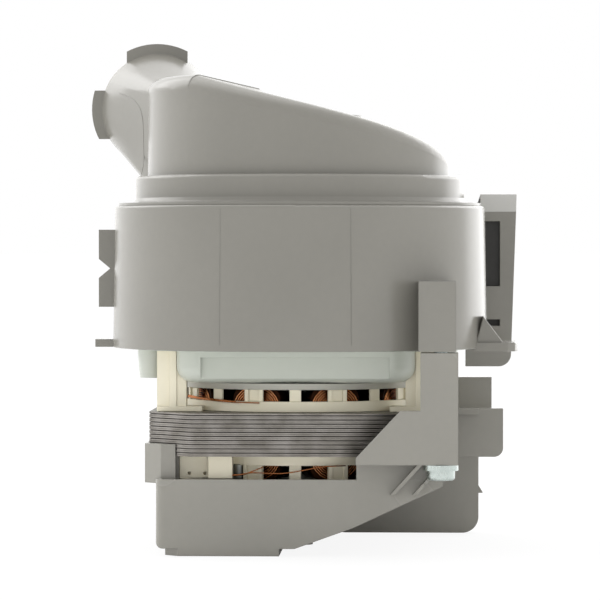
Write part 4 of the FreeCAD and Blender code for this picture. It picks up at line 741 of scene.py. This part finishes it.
def smooth_wire(places):
    """Closely spaced places on a smooth line through a lead's own places, in metres."""
    curve = bpy.data.curves.new("lead_line", "CURVE")
    curve.dimensions = "3D"
    curve.resolution_u = 8
    spline = curve.splines.new("NURBS")
    spline.points.add(len(places) - 1)
    for point, place in zip(spline.points, places):
        point.co = (*(value * MM for value in place), 1)
    spline.order_u = 3
    spline.use_endpoint_u = True
    line = bpy.data.objects.new("lead_line", curve)
    scene.collection.objects.link(line)
    bpy.context.view_layer.update()
    mesh = bpy.data.meshes.new_from_object(line)
    smooth_places = [tuple(vertex.co) for vertex in mesh.vertices]
    bpy.data.objects.remove(line)
    return smooth_places


leads = wire_mesh("winding_lead_wires", [smooth_wire(route) for route in lead_routes], wire_radius)
dress(leads, copper)
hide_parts("winding_leads")
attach(leads, "housing")

# Parting line
# A fine ridge that the head's two mould halves leave over the outlet's flare. It is laid
# on the head's surface.
line_places = ((-51.7, 116.0), (-51.8, 123.0), (-51.9, 131.0), (-52.0, 137.0), (-52.8, 141.5),
               (-54.8, 144.8), (-57.8, 146.8), (-61.5, 147.8))
before_the_head = -100 * MM
line_radius = 0.10 * MM
head_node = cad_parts["pump_head"]
line_route = []
for across, up in line_places:
    is_hit, hit = head_node.ray_cast(
        (across * MM, before_the_head, up * MM), (0, 1, 0))[:2]
    if is_hit:
        line_route.append(tuple(value / MM for value in hit))
parting_line = wire_mesh("head_parting_line", [smooth_wire(line_route)], line_radius)
# The ridge takes the cap's paler grey, painted light that shows it lighter than the head around it.
dress(parting_line, grey_plastic_painted_light)
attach(parting_line, "housing")

# Screws and small steel pieces
# Zinc-plated thread-forming screws, whose washer faces widen from narrower heads. The
# heater's sensor and fuses have plated steel cases too.
zinc = metal(
    "zinc_plated_steel", (0.56, 0.61, 0.58), (0.40, 0.45, 0.43),
    dull=0.30, grain_size=1200.0, stretch=(1, 1, 1), scratch_depth=0.00001)
head_taper = 0.84
rim_margin = 0.05 * MM
screw_rounding = 0.15 * MM
cap_screws = copy_of_node("cap_screws", "cap_screws_turned")
head_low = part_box("cap_screws")[0][2]
for side in (-1, 1):
    rim = [vertex for vertex in cap_screws.data.vertices
           if vertex.co.z < head_low + rim_margin and vertex.co.y * side > 0]
    middle = sum((vertex.co for vertex in rim), Vector()) / len(rim)
    for vertex in rim:
        vertex.co = middle + (vertex.co - middle) * head_taper
can_screws = copy_of_node("can_screws", "can_screws_turned")
for node, screws in (("cap_screws", cap_screws), ("can_screws", can_screws)):
    round_edges(screws, screw_rounding)
    dress(screws, zinc)
    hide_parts(node)
    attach(screws, "housing")
for node in ("temperature_sensor", "thermal_fuses"):
    dress(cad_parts[node], zinc)

# Winding protector
# A small can drawn from sheet steel, pushed in between two coils behind the first lower
# window, where the leads start.
protector_place = (-18.1 * MM, -34.6 * MM, 25.9 * MM)
protector_radius = 1.6 * MM
protector_height = 4.6 * MM
protector_rounding = 0.3 * MM
bpy.ops.object.select_all(action="DESELECT")
bpy.ops.mesh.primitive_cylinder_add(
    vertices=32, radius=protector_radius, depth=protector_height, end_fill_type="NGON")
protector = bpy.context.object
protector.name = "winding_protector"
for vertex in protector.data.vertices:
    vertex.co += Vector(protector_place)
round_edges(protector, protector_rounding)
dull_steel = metal(
    "dull_steel", (0.36, 0.37, 0.35), (0.16, 0.165, 0.155),
    dull=0.40, grain_size=900.0, stretch=(1, 1, 0.4), scratch_depth=0.00002)
dress(protector, dull_steel)
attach(protector, "housing")

# Heated chamber
# A stainless sleeve with the heating rod brazed round it, and the rotor's ground shaft.
# All of them are hidden behind the jacket.
stainless = metal(
    "stainless_steel", (0.58, 0.57, 0.56), (0.48, 0.47, 0.46),
    dull=0.25, grain_size=800.0, stretch=(3, 3, 0.3), scratch_depth=0.00001)
for node in ("heater_tube", "heating_element", "shaft"):
    dress(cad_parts[node], stainless)

# Seals
# Moulded black rubber rings, dull and a little dusty. One is squeezed between the heated
# sleeve and the head, the other between the rotor can's flange and the jacket.
rubber = moulded_plastic(
    "seal_rubber", (0.014, 0.014, 0.014), (0.03, 0.03, 0.03), dull=0.7, grain_depth=0.00004)
for node in ("head_seal", "flange_seal"):
    dress(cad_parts[node], rubber)

# Rotor and bearings
# A moulded ferrite magnet on its hub, and the pressed carbon bushes and washers that the
# shaft runs in.
ferrite = moulded_plastic(
    "moulded_ferrite", (0.05, 0.05, 0.053), (0.08, 0.08, 0.084), dull=0.5, grain_depth=0.00003)
carbon = moulded_plastic(
    "carbon_graphite", (0.02, 0.02, 0.021), (0.04, 0.04, 0.042), dull=0.38, grain_depth=0.00002)
for node in ("rotor_magnet", "rotor_hub"):
    dress(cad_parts[node], ferrite)
for node in ("front_bearing", "rear_bearing", "thrust_washers"):
    dress(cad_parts[node], carbon)

# Contacts
# Tin-plated brass blades of the heater, and pins of the motor's plug, blanked from strip
# and pushed into their housings.
tinned_brass = metal(
    "tinned_brass", (0.60, 0.58, 0.50), (0.45, 0.42, 0.34),
    dull=0.3, grain_size=900.0, stretch=(1, 1, 1), scratch_depth=0.00001)
for node in ("heater_terminals", "connector_pins"):
    dress(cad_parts[node], tinned_brass)
